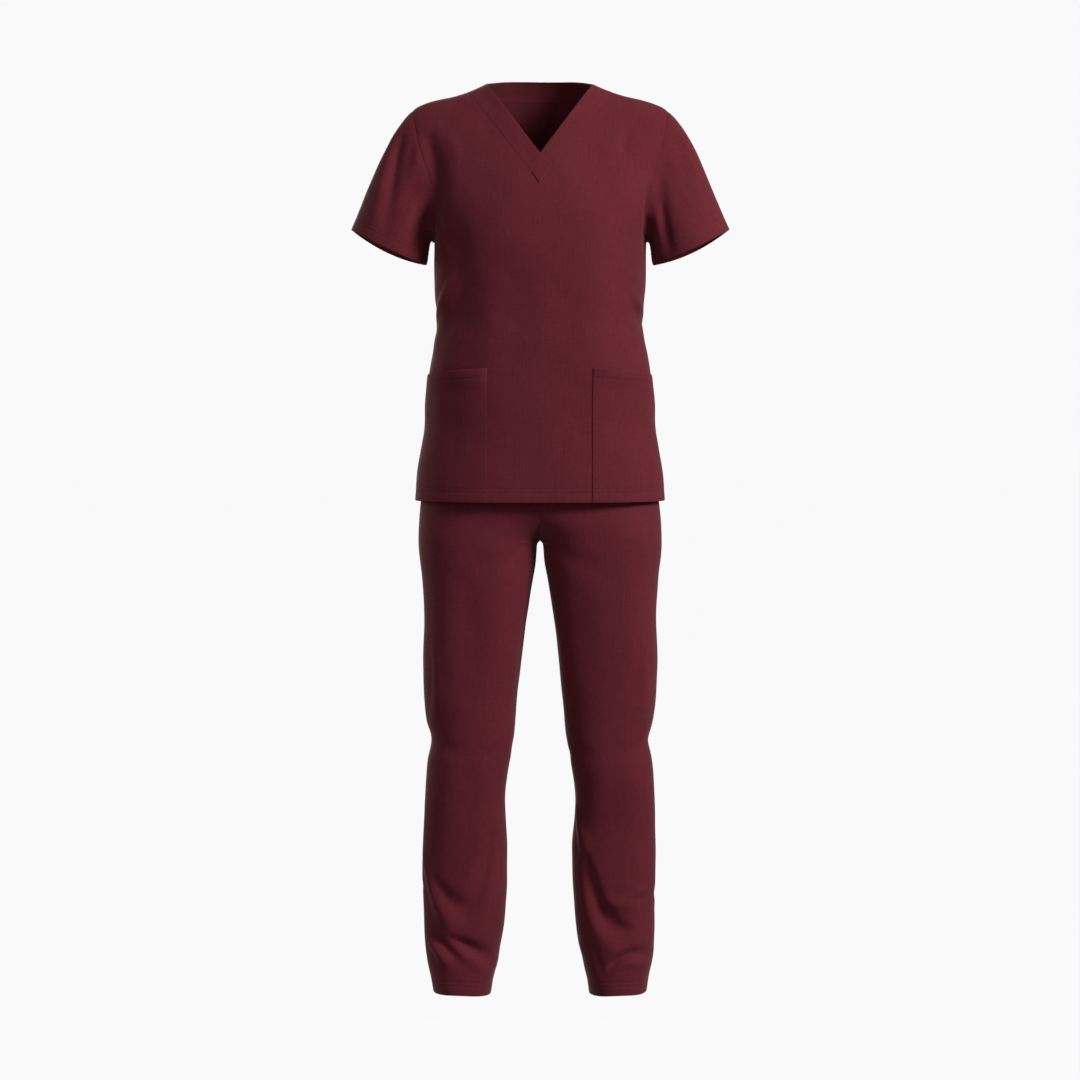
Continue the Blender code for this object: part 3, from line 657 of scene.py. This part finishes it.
surface = body(turns, angles)
surface[:, 0, 0] = 0
outward = normals_of(body, turns, angles)
outward[:, 0, 0] = 0

back_halves = []
for mirror, sign in ((same_side, 1), (other_side, -1)):
    points, normals = mirror(surface).copy(), mirror(outward)
    u = lengths(points, 1)
    v = lengths(points, 0)
    press_top(points, normals, BACK_CREASES, -1)
    points += normals * SINGLE / 2
    across = lengths(points, 1)
    dip(points, normals, across[:, -1:] - across)
    past_neck = np.clip((np.arange(points.shape[1]) - len(neck_shares)) / 3, 0, 1)
    dip(points, normals, v[-1:] - v, NECK_DIP + (SEAM_DIP - NECK_DIP) * past_neck)
    layers = finish_hem(points, normals, v)
    allowance = np.round(np.clip(1 - (v[-1:] - v) / NECK_ALLOWANCE, 0, 1), 1)
    layers = np.maximum(layers, 1 + allowance * (1 - past_neck))
    back_halves.append((points, normals, u * sign, v, layers))
hemmed_piece("top_back", back_halves)


# ---- Sleeves ----
# Each sleeve is one piece, closed by a seam under the arm and set into the armhole, with a turned
# hem like the top's. It hangs away from the body, so the armhole breaks into a deep fold.

CUFF_CENTRE = (242.5, 0.0, -260.0)
CUFF_SLOPE = 25.0           # of the sleeve, away from plumb
CUFF_ACROSS = 67.0          # half widths of the cuff
CUFF_DEEP = 58.0
CUFF_FRONT_DROP = 4.0       # how much lower the cuff hangs in front and behind than at its sides
CUFF_BACK_DROP = 8.0
UNDERARM_REACH = 16.0       # how far the sleeve goes on from the body before it turns down
SHOULDER_REACH = 48.0
CUFF_REACH = 0.35           # part of the sleeve's length that runs straight down to the cuff
CREASES_START = 0.08        # part of the sleeve's length over which its own creases set in
ARMHOLE_TURN = 0.03         # part of it over which the cloth turns from the body's face to its own
SLEEVE_LENGTH = 222.0       # by which its rows are spaced
# Creases along angles round the sleeve (90 in front, 180 on the shoulder) and parts of its length
RIGHT_SLEEVE_CREASES = (
    (134, 0.20, 115, 0.50, 101, 0.90, 11, -6.5),
    (106, 0.05, 100, 0.18, 92, 0.40, 11, 2.6),
    (56, 0.08, 47, 0.50, 42, 1.00, 20, -13.0),
    (140, 0.16, 132, 0.36, 128, 0.60, 12, -1.8),
    (236, 0.12, 250, 0.42, 262, 0.84, 12, -3.8),
    (286, 0.08, 296, 0.36, 300, 0.80, 10, -3.6),
    (206, 0.36, 200, 0.60, 196, 0.86, 13, -1.8),
)
LEFT_SLEEVE_CREASES = (
    (74, 0.36, 62, 0.66, 54, 0.98, 9, -4.2),
    (94, 0.22, 86, 0.46, 80, 0.74, 11, 2.0),
    (48, 0.04, 36, 0.30, 26, 0.70, 8, -3.6),
    (126, 0.18, 118, 0.46, 112, 0.74, 13, -1.8),
    (230, 0.14, 246, 0.44, 258, 0.80, 12, -3.4),
    (280, 0.10, 292, 0.40, 304, 0.78, 10, -4.0),
    (196, 0.30, 204, 0.56, 210, 0.82, 13, -1.6),
)


def armhole(around):
    """The armhole's seam: 0 at the underarm, 90 in front, 180 on the shoulder and 270 behind."""
    around = np.mod(around, 360)
    turn = np.where(around <= 180, around, 360 - around) / 2
    angle = read(ARMHOLE, "angle", turn)
    return turn, np.where(around <= 180, angle, -angle)


def sleeve(around, along):
    """The left sleeve's surface, from the armhole (along 0) to the cuff (along 1). It leaves the
    armhole square to the seam, turned straight sideways at the shoulder and leaning off the
    body under the arm."""
    start = body(*armhole(around))
    seam = body(*armhole(around + 0.5)) - body(*armhole(around - 0.5))
    normal = normals_of(body, *armhole(around))
    outward = np.cross(seam, normal)
    outward /= np.linalg.norm(outward, axis=-1, keepdims=True)
    outward[..., 1] *= 1 - np.sin(np.radians(around) / 2) ** 4
    lean = np.clip(np.cos(np.radians(around)), 0, 1) ** 2
    outward += normal * lean[..., None]
    outward /= np.linalg.norm(outward, axis=-1, keepdims=True)
    tilt = np.radians(CUFF_SLOPE)
    down = np.array([np.sin(tilt), 0, -np.cos(tilt)])
    inward = np.array([-np.cos(tilt), 0, -np.sin(tilt)])
    turned = np.radians(around)[..., None]
    drop = np.where(np.sin(turned) < 0, CUFF_BACK_DROP, CUFF_FRONT_DROP)
    end = np.array(CUFF_CENTRE) + inward * CUFF_ACROSS * np.cos(turned)
    end = end + np.array([0, -CUFF_DEEP, 0]) * np.sin(turned) + down * drop * np.sin(turned) ** 2
    reach = UNDERARM_REACH + (SHOULDER_REACH - UNDERARM_REACH) * np.sin(turned / 2) ** 2
    first_handle = start + outward * reach
    last_handle = end - down * np.linalg.norm(end - start, axis=-1, keepdims=True) * CUFF_REACH
    t = np.asarray(along, dtype=float)[..., None]
    near = (1 - t) ** 3 * start + 3 * (1 - t) ** 2 * t * first_handle
    return near + 3 * (1 - t) * t ** 2 * last_handle + t ** 3 * end


around = np.concatenate([upper_turns * 2, 360 - upper_turns[-2::-1] * 2])
around, along = np.meshgrid(around, 1 - spaced(SLEEVE_LENGTH, HEM_STEPS, EDGE_STEPS))
surface = sleeve(around, along)
outward = -normals_of(sleeve, around, along, 0.5, 0.004)
at_armhole = normals_of(body, *armhole(around))
blend = np.clip(along / ARMHOLE_TURN, 0, 1)[..., None]
outward = outward * blend + at_armhole * (1 - blend)
outward /= np.linalg.norm(outward, axis=-1, keepdims=True)

for name, mirror, creases in (("sleeve_left", same_side, LEFT_SLEEVE_CREASES),
                              ("sleeve_right", other_side, RIGHT_SLEEVE_CREASES)):
    points, normals = mirror(surface).copy(), mirror(outward)
    u = lengths(points, 1)
    from_hem = lengths(points, 0)
    for row in creases:
        crease(points, normals, mirror(sleeve(*three_points(row))), *row[6:])
    sets_in = np.clip(along / CREASES_START, 0, 1)[..., None]
    points = mirror(surface) + (points - mirror(surface)) * sets_in
    for side, rows in ((1, FRONT_CREASES), (-1, BACK_CREASES)):
        for row in rows:
            crease(points, normals, on_top(row, side), *row[6:])
    points += normals * unevenness(points)[..., None]
    points += normals * SINGLE / 2
    dip(points, normals, from_hem[-1:] - from_hem)
    across = lengths(points, 1)
    dip(points, normals, np.minimum(across, across[:, -1:] - across), depth=0.6, reach=1.5)
    layers = finish_hem(points, normals, from_hem)
    grids = [(points, normals, u, from_hem, layers)]
    hemmed_piece(name, grids)


# ---- Neckband ----
# Three strips of the same cloth, folded double and sewn round the neck. The two in front meet at
# the tip of the V, where the wearer's right one laps over the left, and all meet on the shoulders.

NECK_CORNER = 85.0          # from the middle to the neck edge's corner on the shoulder
V_POINT = -114.5            # bottom of the neck opening
BACK_NECK = 8.0             # middle of the back neck edge
BACK_NECK_CURVE = 4         # power by which that edge rises from its middle to the shoulder
BAND_RAISED = 0.15          # how far the doubled band stands above the cloth beside it
BAND_LAP = 1.5              # how much further the upper band rises over the lower one
BAND_RISE = 24.0            # from where it starts to rise, to the middle
TOPSTITCH = 2.2             # from the band's seam to the stitches beside it
BAND_WIDTH = 31.0
FLAP_ROWS = 8
# The upper band's end past the middle, from its cut end back to the middle
BAND_FLAP = table(
    "seam_x seam_z neck_x neck_z",
    (1.6, -162.1, 19, -131.5),
    (0.8, -162.7, 9.5, -123.5),
    (0, -163.3, 0, -114.5),
)


def strip(first_turn, first_x, last_turn, last_x, side):
    """A strip of the top's surface between two lines, with its normals."""
    share = spaced(BAND_WIDTH, EDGE_STEPS[:3], EDGE_STEPS[:3])
    turn = first_turn[:, None] + (last_turn - first_turn)[:, None] * share
    x = first_x[:, None] + (last_x - first_x)[:, None] * share
    angle = side * angle_at(turn, x)
    return body(turn, angle), normals_of(body, turn, angle)


def neckband(name, points, normals, side):
    """Makes one doubled strip, a little raised, with its seams turned down and topstitched."""
    u, v = lengths(points, 1), lengths(points, 0)
    press_top(points, normals, FRONT_CREASES if side == 1 else BACK_CREASES, side)
    points += normals * (SINGLE / 2 + BAND_RAISED)
    dip(points, normals, u, NECK_DIP + BAND_RAISED, reach=1.4)
    dip(points, normals, u[:, -1:] - u, depth=0.5, reach=0.9)
    dip(points, normals, v[-1:] - v, NECK_DIP, reach=1.2)
    if side == -1:
        dip(points, normals, v, NECK_DIP, reach=1.2)
    piece = cloth_piece(name, [(points, normals, u, v, 2)], scrub_cloth)
    lines = [line_at(points.transpose(1, 0, 2), normals.transpose(1, 0, 2), u.T, TOPSTITCH)]
    if name == "neckband_right":
        lines.append(line_at(points, normals, lengths(points, 0), TOPSTITCH))
    band_stitches = stitches(name + "_stitches", lines)


rows = slice(tip_row, None)
seam_x = body(top_turns[rows], inner_angles[rows])[:, 0]
seam_turns = top_turns[rows]
share = np.linspace(0, 1, len(seam_turns))
edge_corner = float(read(SHOULDER, "height", NECK_CORNER))
edge_x = NECK_CORNER * share
edge_z = V_POINT + (edge_corner - V_POINT) * share
points, normals = strip(seam_turns, seam_x, turn_at(edge_x, edge_z), edge_x, 1)
neckband("neckband_left", points.copy(), normals, 1)

ends = BAND_FLAP["values"]
flap_z = np.linspace(ends["seam_z"][0], ends["seam_z"][-1], FLAP_ROWS)
flap_x = np.interp(flap_z, ends["seam_z"][::-1], ends["seam_x"][::-1])
flap_edge_x = np.linspace(ends["neck_x"][0], ends["neck_x"][-1], FLAP_ROWS)
flap_edge_z = np.interp(flap_edge_x, ends["neck_x"][::-1], ends["neck_z"][::-1])
flap = strip(turn_at(flap_x, flap_z), flap_x, turn_at(flap_edge_x, flap_edge_z), flap_edge_x, 1)
points = np.concatenate([flap[0][:-1], other_side(points)])
normals = np.concatenate([flap[1][:-1], other_side(normals)])
rise = np.clip(1 + points[..., 0] / BAND_RISE, 0, 1)
points += normals * (BAND_LAP * rise * rise * (3 - 2 * rise))[..., None]
neckband("neckband_right", points, normals, 1)

seam_x, seam_turn = back_seam(neck_shares)
edge_x = NECK_CORNER * neck_shares
edge_z = BACK_NECK + (edge_corner - BACK_NECK) * neck_shares ** BACK_NECK_CURVE
points, normals = strip(seam_turn, seam_x, turn_at(edge_x, edge_z), edge_x, -1)
points[0, :, 0] = 0
normals[0, :, 0] = 0
points = np.concatenate([other_side(points)[:0:-1], points])
normals = np.concatenate([other_side(normals)[:0:-1], normals])
neckband("neckband_back", points, normals, -1)


# ---- Pockets ----
# Two patch pockets of the same cloth, laid on the front from hem to mouth. The inner edge is
# turned in and stitched down, the outer one is caught in the side seam, and the mouth is hemmed.

POCKET_INNER = 83.0         # from the middle of the front to the pocket's inner edge
POCKET_TOP_INNER = -453.0
POCKET_TOP_OUTER = -467.0
POCKET_RAISED = 1.7         # above the front
MOUTH_HEM = 15.5            # from the mouth to its stitches
EDGE_STITCH = 5.0           # from the inner edge to its stitches
MOUTH_GAPE = 7.5            # how far the mouth of the right pocket stands off the front
GAPE_HEIGHT = 24.0          # and how far down it does
POCKET_WIDTH = 124.0        # over the front and round to the side seam
POCKET_HEIGHT = 205.0

across = spaced(POCKET_WIDTH, (0, 0.9, 2.0, 3.8, 5.0, 6.2), EDGE_STEPS)
upward = spaced(POCKET_HEIGHT, HEM_STEPS, (0, 0.9, 2.0, 4, 8, 12, 14.3, 15.5, 16.7, 19))
level = HEM + (POCKET_TOP_INNER - HEM) * upward[:, None] + np.zeros_like(across)
level += (POCKET_TOP_OUTER - POCKET_TOP_INNER) * across * upward[:, None] ** 6
turns = turn_at(0.0, level)
inner_angle = angle_at(turns, POCKET_INNER)
angles = inner_angle * (1 - across)
surface = body(turns, angles)
outward = normals_of(body, turns, angles)
for name, mirror, gape in (("pocket_left", same_side, 0.7), ("pocket_right", other_side, 1.0)):
    points, normals = mirror(surface).copy(), mirror(outward)
    press_top(points, normals, FRONT_CREASES, 1)
    u, v = lengths(points, 1), lengths(points, 0)
    below_mouth = v[-1:] - v
    opening = np.exp(-(below_mouth / GAPE_HEIGHT) ** 2) * np.sin(np.pi * across ** 0.55) ** 1.2
    points += normals * (SINGLE / 2 + POCKET_RAISED + MOUTH_GAPE * gape * opening)[..., None]
    for away in (u - EDGE_STITCH, below_mouth - MOUTH_HEM):
        dip(points, normals, away, depth=0.6, reach=1.4)
    dip(points, normals, u, depth=0.5, reach=0.8)
    dip(points, normals, below_mouth, depth=0.4, reach=0.8)
    dip(points, normals, u[:, -1:] - u, depth=0.9, reach=1.6)
    finish_hem(points, normals, v)
    layers = np.where((below_mouth < MOUTH_HEM + 1) | (u < EDGE_STITCH + 1), 2, 1)
    piece = cloth_piece(name, [(points, normals, u, v, layers)], scrub_cloth)
    columns = points.transpose(1, 0, 2), normals.transpose(1, 0, 2)
    lines = [line_at(*columns, u.T, EDGE_STITCH)]
    lines += [line_at(points[::-1], normals[::-1], below_mouth[::-1], MOUTH_HEM)]
    lines += [line_at(points, normals, v, distance) for distance in HEM_STITCHES]
    pocket_stitches = stitches(name + "_stitches", lines)


# ---- Trousers ----
# Straight legs of the same cloth in four panels, sewn at the sides, the inseams and the middle.
# The hems are turned and twin-stitched, and the cloth breaks into folds above them and at the
# knees.

CROTCH = -731.0
SEAT_RISE = 110.0           # height over which the crotch seam turns from level to plumb
WAIST_SEAM = -495.0
WAIST_TOP = -460.0
LEG_HEM = -1457.0
LEG_CORNER = 0.08
HEM_DROP = 4.0              # how much lower the front of the hem hangs on its inner side
HEM_WAVE = 8.0              # how much lower it hangs at its sides than in front
HEM_FADE = 70.0             # height above the hem over which both run out
PANEL_WIDTH = 245.0         # by which its columns are spaced
SEAT_ROWS = 40
CROTCH_STEPS = (0, 0.5, 1.2, 2.2, 3.6)
RIGHT_LEG_HIGHER = 12.0     # how much higher the side creases lie on the right leg
# Sections of one leg, up to the waist
LEG = table(
    "height outer front back",
    (-1457, 172, 80, 86),
    (-1434, 175.5, 78, 88),
    (-1402, 182, 74, 89),
    (-1370, 185, 71, 90),
    (-1306, 185.5, 67, 90),
    (-1226, 186.5, 65, 86),
    (-1146, 185, 70, 79),
    (-1114, 183.5, 73, 75),
    (-1082, 181, 75, 72),
    (-1050, 175.5, 76, 71),
    (-1018, 182.5, 77, 75),
    (-986, 186, 79, 79),
    (-922, 188.5, 83, 85),
    (-858, 186, 87, 90),
    (-794, 189.5, 91, 95),
    (-731, 195.5, 94, 99),
    (-666, 192, 95, 105),
    (-620, 184.5, 95, 105),
    (-560, 172.5, 93, 101),
    (-495, 157, 92, 96),
    (-460, 152, 91, 94),
)
# The inner side of a leg, below the crotch, and how far the inseam alone stands off from it, so
# that the gap between the legs is rounded at its top
INSEAM = table(
    "height inner off",
    (-1457, 80, 0),
    (-1434, 76, 0),
    (-1402, 67, 0),
    (-1370, 61, 0),
    (-1306, 55, 0),
    (-1226, 53.5, 0),
    (-1146, 56.5, 0),
    (-1114, 53.5, 0),
    (-1082, 48.5, 0),
    (-1050, 43, 0),
    (-986, 37, 0),
    (-922, 30.5, 0),
    (-858, 22.5, 0),
    (-794, 12.6, 0.4),
    (-762, 5.6, 1.1),
    (-745, 2.2, 2.9),
    (-737, 0.9, 3.3),
    (-733, 0.3, 2.3),
    (-731, 0, 0),
)
LEG_FRONT_CREASES = (
    (-182, -1170, -184, -1300, -176, -1440, 34, 4.6),
    (-183, -1236, -163, -1310, -134, -1358, 11, 5.0),
    (-76, -1206, -98, -1286, -132, -1336, 14, -7.5),
    (-166, -1274, -141, -1304, -108, -1320, 13, -5.5),
    (-140, -1365, -110, -1379, -76, -1400, 10, -10.0),
    (-169, -1364, -149, -1381, -128, -1398, 10, -6.8),
    (-175, -1372, -160, -1390, -141, -1408, 8, 3.2),
    (-158, -1050, -134, -1060, -104, -1052, 14, -1.8),
    (-54, -1046, -78, -1066, -104, -1072, 12, -1.4),
    (-168, -890, -164, -960, -171, -1030, 9, 2.8),
    (-30, -738, -63, -762, -104, -770, 17, -2.2),
    (-120, -800, -112, -900, -118, -1000, 28, -2.6),
    (-120, -1080, -112, -1140, -120, -1200, 26, -2.0),
    (59, -1160, 71, -1216, 90, -1272, 12, 4.4),
    (76, -1238, 103, -1330, 150, -1362, 14, -10.0),
    (112, -1330, 130, -1347, 150, -1342, 9, -5.0),
    (104, -1300, 130, -1310, 161, -1294, 12, 4.2),
    (112, -1410, 142, -1390, 178, -1394, 8, -9.0),
    (90, -1384, 96, -1412, 112, -1430, 9, -2.4),
    (172, -1296, 160, -1303, 140, -1300, 9, -3.4),
    (156, -1056, 132, -1066, 106, -1060, 15, -1.8),
    (42, -1050, 68, -1064, 92, -1076, 12, -1.2),
    (168, -900, 166, -960, 170, -1022, 9, 2.6),
    (28, -742, 60, -760, 98, -772, 17, -2.4),
    (62, -800, 70, -900, 78, -1010, 26, -3.2),
    (124, -1090, 118, -1150, 112, -1215, 26, -1.8),
)
LEG_BACK_CREASES = (
    (-182, -1170, -184, -1300, -176, -1440, 34, 4.6),
    (-30, -768, -84, -788, -140, -772, 13, -3.8),
    (34, -764, 88, -784, 146, -774, 13, -4.0),
    (-44, -800, -86, -818, -128, -812, 12, -2.2),
    (46, -796, 84, -812, 124, -806, 12, -2.2),
    (-166, -1040, -120, -1056, -72, -1048, 12, -4.6),
    (-60, -1078, -104, -1092, -150, -1082, 11, -3.4),
    (70, -1044, 118, -1060, 168, -1050, 12, -4.4),
    (154, -1080, 108, -1094, 62, -1086, 11, -3.6),
    (-170, -1320, -130, -1344, -90, -1340, 12, -5.0),
    (-84, -1374, -120, -1390, -160, -1380, 10, -5.2),
    (90, -1330, 130, -1350, 172, -1338, 12, -5.2),
    (164, -1384, 124, -1396, 88, -1382, 10, -4.8),
    (-118, -860, -112, -940, -120, -1020, 26, -2.4),
    (116, -860, 110, -946, 118, -1024, 26, -2.4),
    (-112, -1130, -106, -1210, -114, -1290, 26, -2.4),
    (110, -1130, 118, -1206, 108, -1296, 26, -2.4),
    (-70, -560, -78, -620, -66, -690, 26, -1.8),
    (72, -566, 80, -628, 68, -694, 26, -1.8),
)
# Creases over the sides and inseams, along angles round the leg (180 at the inseam) and heights
LEG_SIDE_CREASES = (
    (34, -1044, 0, -1051, -36, -1042, 12, -0.8),
    (-44, -1070, -20, -1078, 6, -1070, 12, -1.6),
    (20, -1298, -8, -1303, -40, -1314, 10, -1.4),
    (-4, -1378, -30, -1388, -54, -1380, 12, -2.4),
    (150, -1064, 180, -1072, 214, -1062, 14, -1.2),
    (236, -1332, 212, -1344, 188, -1336, 13, -2.4),
    (150, -1396, 180, -1402, 216, -1390, 14, -1.2),
    (-26, -860, -18, -930, -24, -1000, 20, -2.6),
    (196, -850, 202, -930, 196, -1000, 20, -1.8),
)


def past_middle(height):
    """How far a leg's section reaches past the middle, above the crotch: not at all at the crotch,
    and at the top of the seat as far as its outer side, where it is one with the other leg's."""
    rise = np.clip((height - CROTCH) / SEAT_RISE, 0, 1)
    return -read(LEG, "outer", height) * rise ** 2 * (3 - 2 * rise)


def leg(height, angle):
    """The left trouser leg's surface. The side seam is at angle 0 and the inseam at 180. Above the
    crotch the section reaches past the middle, so that the two legs meet in the crotch seam."""
    outer = read(LEG, "outer", height)
    inner = np.where(height > CROTCH, past_middle(height), read(INSEAM, "inner", height))
    across, deep = section(angle, LEG_CORNER)
    x = (outer + inner) / 2 + (outer - inner) / 2 * across
    x = x + np.where(height > CROTCH, 0, read(INSEAM, "off", height)) * ((1 - across) / 2) ** 6
    front = (np.mod(angle, 360) <= 180)
    depth = np.where(front, read(LEG, "front", height), read(LEG, "back", height))
    return np.stack(np.broadcast_arrays(x, -depth * deep, height), axis=-1).astype(float)


def middle_angle(height):
    """The angle at which a section of the trousers comes to the middle seam, or to the inseam."""
    outer = read(LEG, "outer", height)
    inner = past_middle(height)
    across = -(outer + inner) / (outer - inner)
    return np.where(height > CROTCH, angle_across(across, LEG_CORNER), 180)


def on_leg(row, side):
    """The line of a crease on a leg's front (side 1) or back (side -1)."""
    x, height = three_points(row)
    outer = read(LEG, "outer", height)
    inner = np.where(height > CROTCH, past_middle(height), read(INSEAM, "inner", height))
    angle = angle_across((2 * np.abs(x) - outer - inner) / (outer - inner), LEG_CORNER)
    return leg(height, side * angle)


inseam = CROTCH - LEG_HEM
lower_leg = LEG_HEM + spaced(inseam, HEM_STEPS, CROTCH_STEPS) * inseam
seat = CROTCH + SEAT_RISE * np.linspace(0, 1, SEAT_ROWS)[1:] ** 1.4
hips = np.linspace(CROTCH + SEAT_RISE, WAIST_SEAM, SEAT_ROWS)[1:]
heights = np.concatenate([lower_leg, seat, hips])
share = spaced(PANEL_WIDTH, EDGE_STEPS, EDGE_STEPS)
angles = middle_angle(heights)[:, None] * share
heights = np.broadcast_to(heights[:, None], angles.shape)
at_crotch = len(lower_leg) - 1
for panel, side, creases, width, area in (("trouser_front", 1, LEG_FRONT_CREASES, 0.28, 0.232),
                                          ("trouser_back", -1, LEG_BACK_CREASES, 0.30, 0.243)):
    surface = leg(heights, side * angles)
    surface[at_crotch:, -1, 0] = 0
    outward = normals_of(leg, heights, side * angles)
    outward *= np.sign(outward[0, 0, 0])
    outward[at_crotch:, -1, 0] = 0
    outward[at_crotch, -1] = (0, 0, -1)
    outward /= np.linalg.norm(outward, axis=-1, keepdims=True)
    for end, mirror, which in (("_left", same_side, 1), ("_right", other_side, -1)):
        points, normals = mirror(surface).copy(), mirror(outward)
        u, v = lengths(points, 1), lengths(points, 0)
        for row in creases:
            if row[0] * which > 0:
                crease(points, normals, mirror(on_leg(row, side)), *row[6:])
        for row in LEG_SIDE_CREASES:
            angle, height = three_points(row)
            line = mirror(leg(height + RIGHT_LEG_HIGHER * (which == -1), angle))
            crease(points, normals, line, row[6], row[7] * (1 + 0.15 * which))
        points += normals * unevenness(points)[..., None]
        inner_side = np.clip(0.5 - np.cos(np.radians(angles)) / 2, 0, 1)
        near_hem = np.exp(-(v / HEM_FADE) ** 2)
        points[..., 2] -= HEM_DROP * inner_side * near_hem * (1 if side == 1 else 0.5)
        wave = HEM_WAVE * (1 if side == 1 else 0.3) * np.sin(np.radians(angles))
        points[..., 2] += near_hem * (wave - HEM_WAVE / 2)
        points += normals * SINGLE / 2
        across = lengths(points, 1)
        dip(points, normals, across)
        dip(points, normals, across[:, -1:] - across)
        dip(points, normals, v[-1:] - v)
        layers = finish_hem(points, normals, v)
        grids = [(points, normals, u * which, v, layers)]
        hemmed_piece(panel + end, grids)


# ---- Waistband ----
# A strip of the same cloth folded double round the waist, sewn to the tops of the four panels. The
# top covers it, so it is plain, with one stitched line under its upper edge.

WAIST_COLUMNS = 241
WAIST_RAISED = 0.5          # how far the band stands above the panels
WAIST_STITCH = 30.0         # from the band's seam to its stitches

around = np.linspace(0, 360, WAIST_COLUMNS)
upward = spaced(WAIST_TOP - WAIST_SEAM, EDGE_STEPS, EDGE_STEPS)
around, height = np.meshgrid(around, WAIST_SEAM + (WAIST_TOP - WAIST_SEAM) * upward)
points = leg(height, around)
normals = normals_of(leg, height, around)
normals *= np.sign(np.sum(normals[0] * (points[0] - points[0].mean(axis=0))))
normals[:, (0, -1)] = (1, 0, 0)
u, v = lengths(points, 1), lengths(points, 0)
points += normals * (SINGLE / 2 + WAIST_RAISED + unevenness(points))[..., None]
dip(points, normals, v)
dip(points, normals, v[-1:] - v, depth=0.5, reach=0.9)
points[:, -1] = points[:, 0]
waistband = cloth_piece("waistband", [(points, normals, u, v, 2)], scrub_cloth)
waist_stitches = stitches("waistband_stitches", [line_at(points, normals, v, WAIST_STITCH)])


# ---- Studio ----
# A plain pale floor under the hems, and soft light: a large lamp high on the right in front, weak
# ones from the left and from behind, and pale surroundings.

FLOOR = -1.50
GROUND_SIZE = 60.0
LAMPS_AIM = -0.6            # height of the point that the lamps are turned to

bpy.context.scene.view_settings.view_transform = "Standard"


def glows(tree, seen, light):
    """A strength that is one thing as the camera sees it, and another as the light it gives."""
    path = node(tree, "ShaderNodeLightPath", {})
    inputs = {0: path.outputs["Is Camera Ray"], 1: seen - light, 2: light}
    return node(tree, "ShaderNodeMath", inputs, operation="MULTIPLY_ADD").outputs[0]


world = bpy.data.worlds.new("pale_room")
bpy.context.scene.world = world
world.use_nodes = True
room = world.node_tree.nodes["Background"]
room.inputs["Color"].default_value = (1, 1, 1, 1)
world.node_tree.links.new(glows(world.node_tree, 0.945, 0.2), room.inputs["Strength"])

bpy.ops.object.select_all(action="DESELECT")
bpy.ops.mesh.primitive_plane_add(size=GROUND_SIZE, location=(0, 0, FLOOR))
floor = bpy.context.object
floor.name = "floor"
floor_paint = bpy.data.materials.new("matt_white_paint")
floor_paint.use_nodes = True
shader = floor_paint.node_tree.nodes["Principled BSDF"]
shader.inputs["Base Color"].default_value = linear("1C1C1C")
shader.inputs["Roughness"].default_value = 0.9
shader.inputs["Specular IOR Level"].default_value = 0
shader.inputs["Emission Color"].default_value = (1, 1, 1, 1)
bright = glows(floor_paint.node_tree, 0.94, 0.2)
floor_paint.node_tree.links.new(bright, shader.inputs["Emission Strength"])
floor.data.materials.append(floor_paint)
floor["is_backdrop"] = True


def lamp(name, place, size, power, tint):
    """A square soft lamp, turned to the middle of the set."""
    data = bpy.data.lights.new(name, "AREA")
    data.size = size
    data.energy = power
    data.color = tint
    made = bpy.data.objects.new(name, data)
    bpy.context.collection.objects.link(made)
    made.location = place
    aim = made.location * -1
    aim.z += LAMPS_AIM
    made.rotation_euler = aim.to_track_quat("-Z", "Y").to_euler()


lamp("key_lamp", (3.05, -2.15, 1.65), 1.5, 190, (1, 0.985, 0.97))
lamp("fill_lamp", (-1.6, -3.6, 0.2), 2.2, 12, (0.97, 0.985, 1))
lamp("back_lamp", (-1.2, 3.9, 1.4), 2.0, 75, (1, 1, 1))
lamp("rim_lamp", (-2.6, 1.3, 0.2), 1.4, 20, (0.95, 0.98, 1))

low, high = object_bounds()
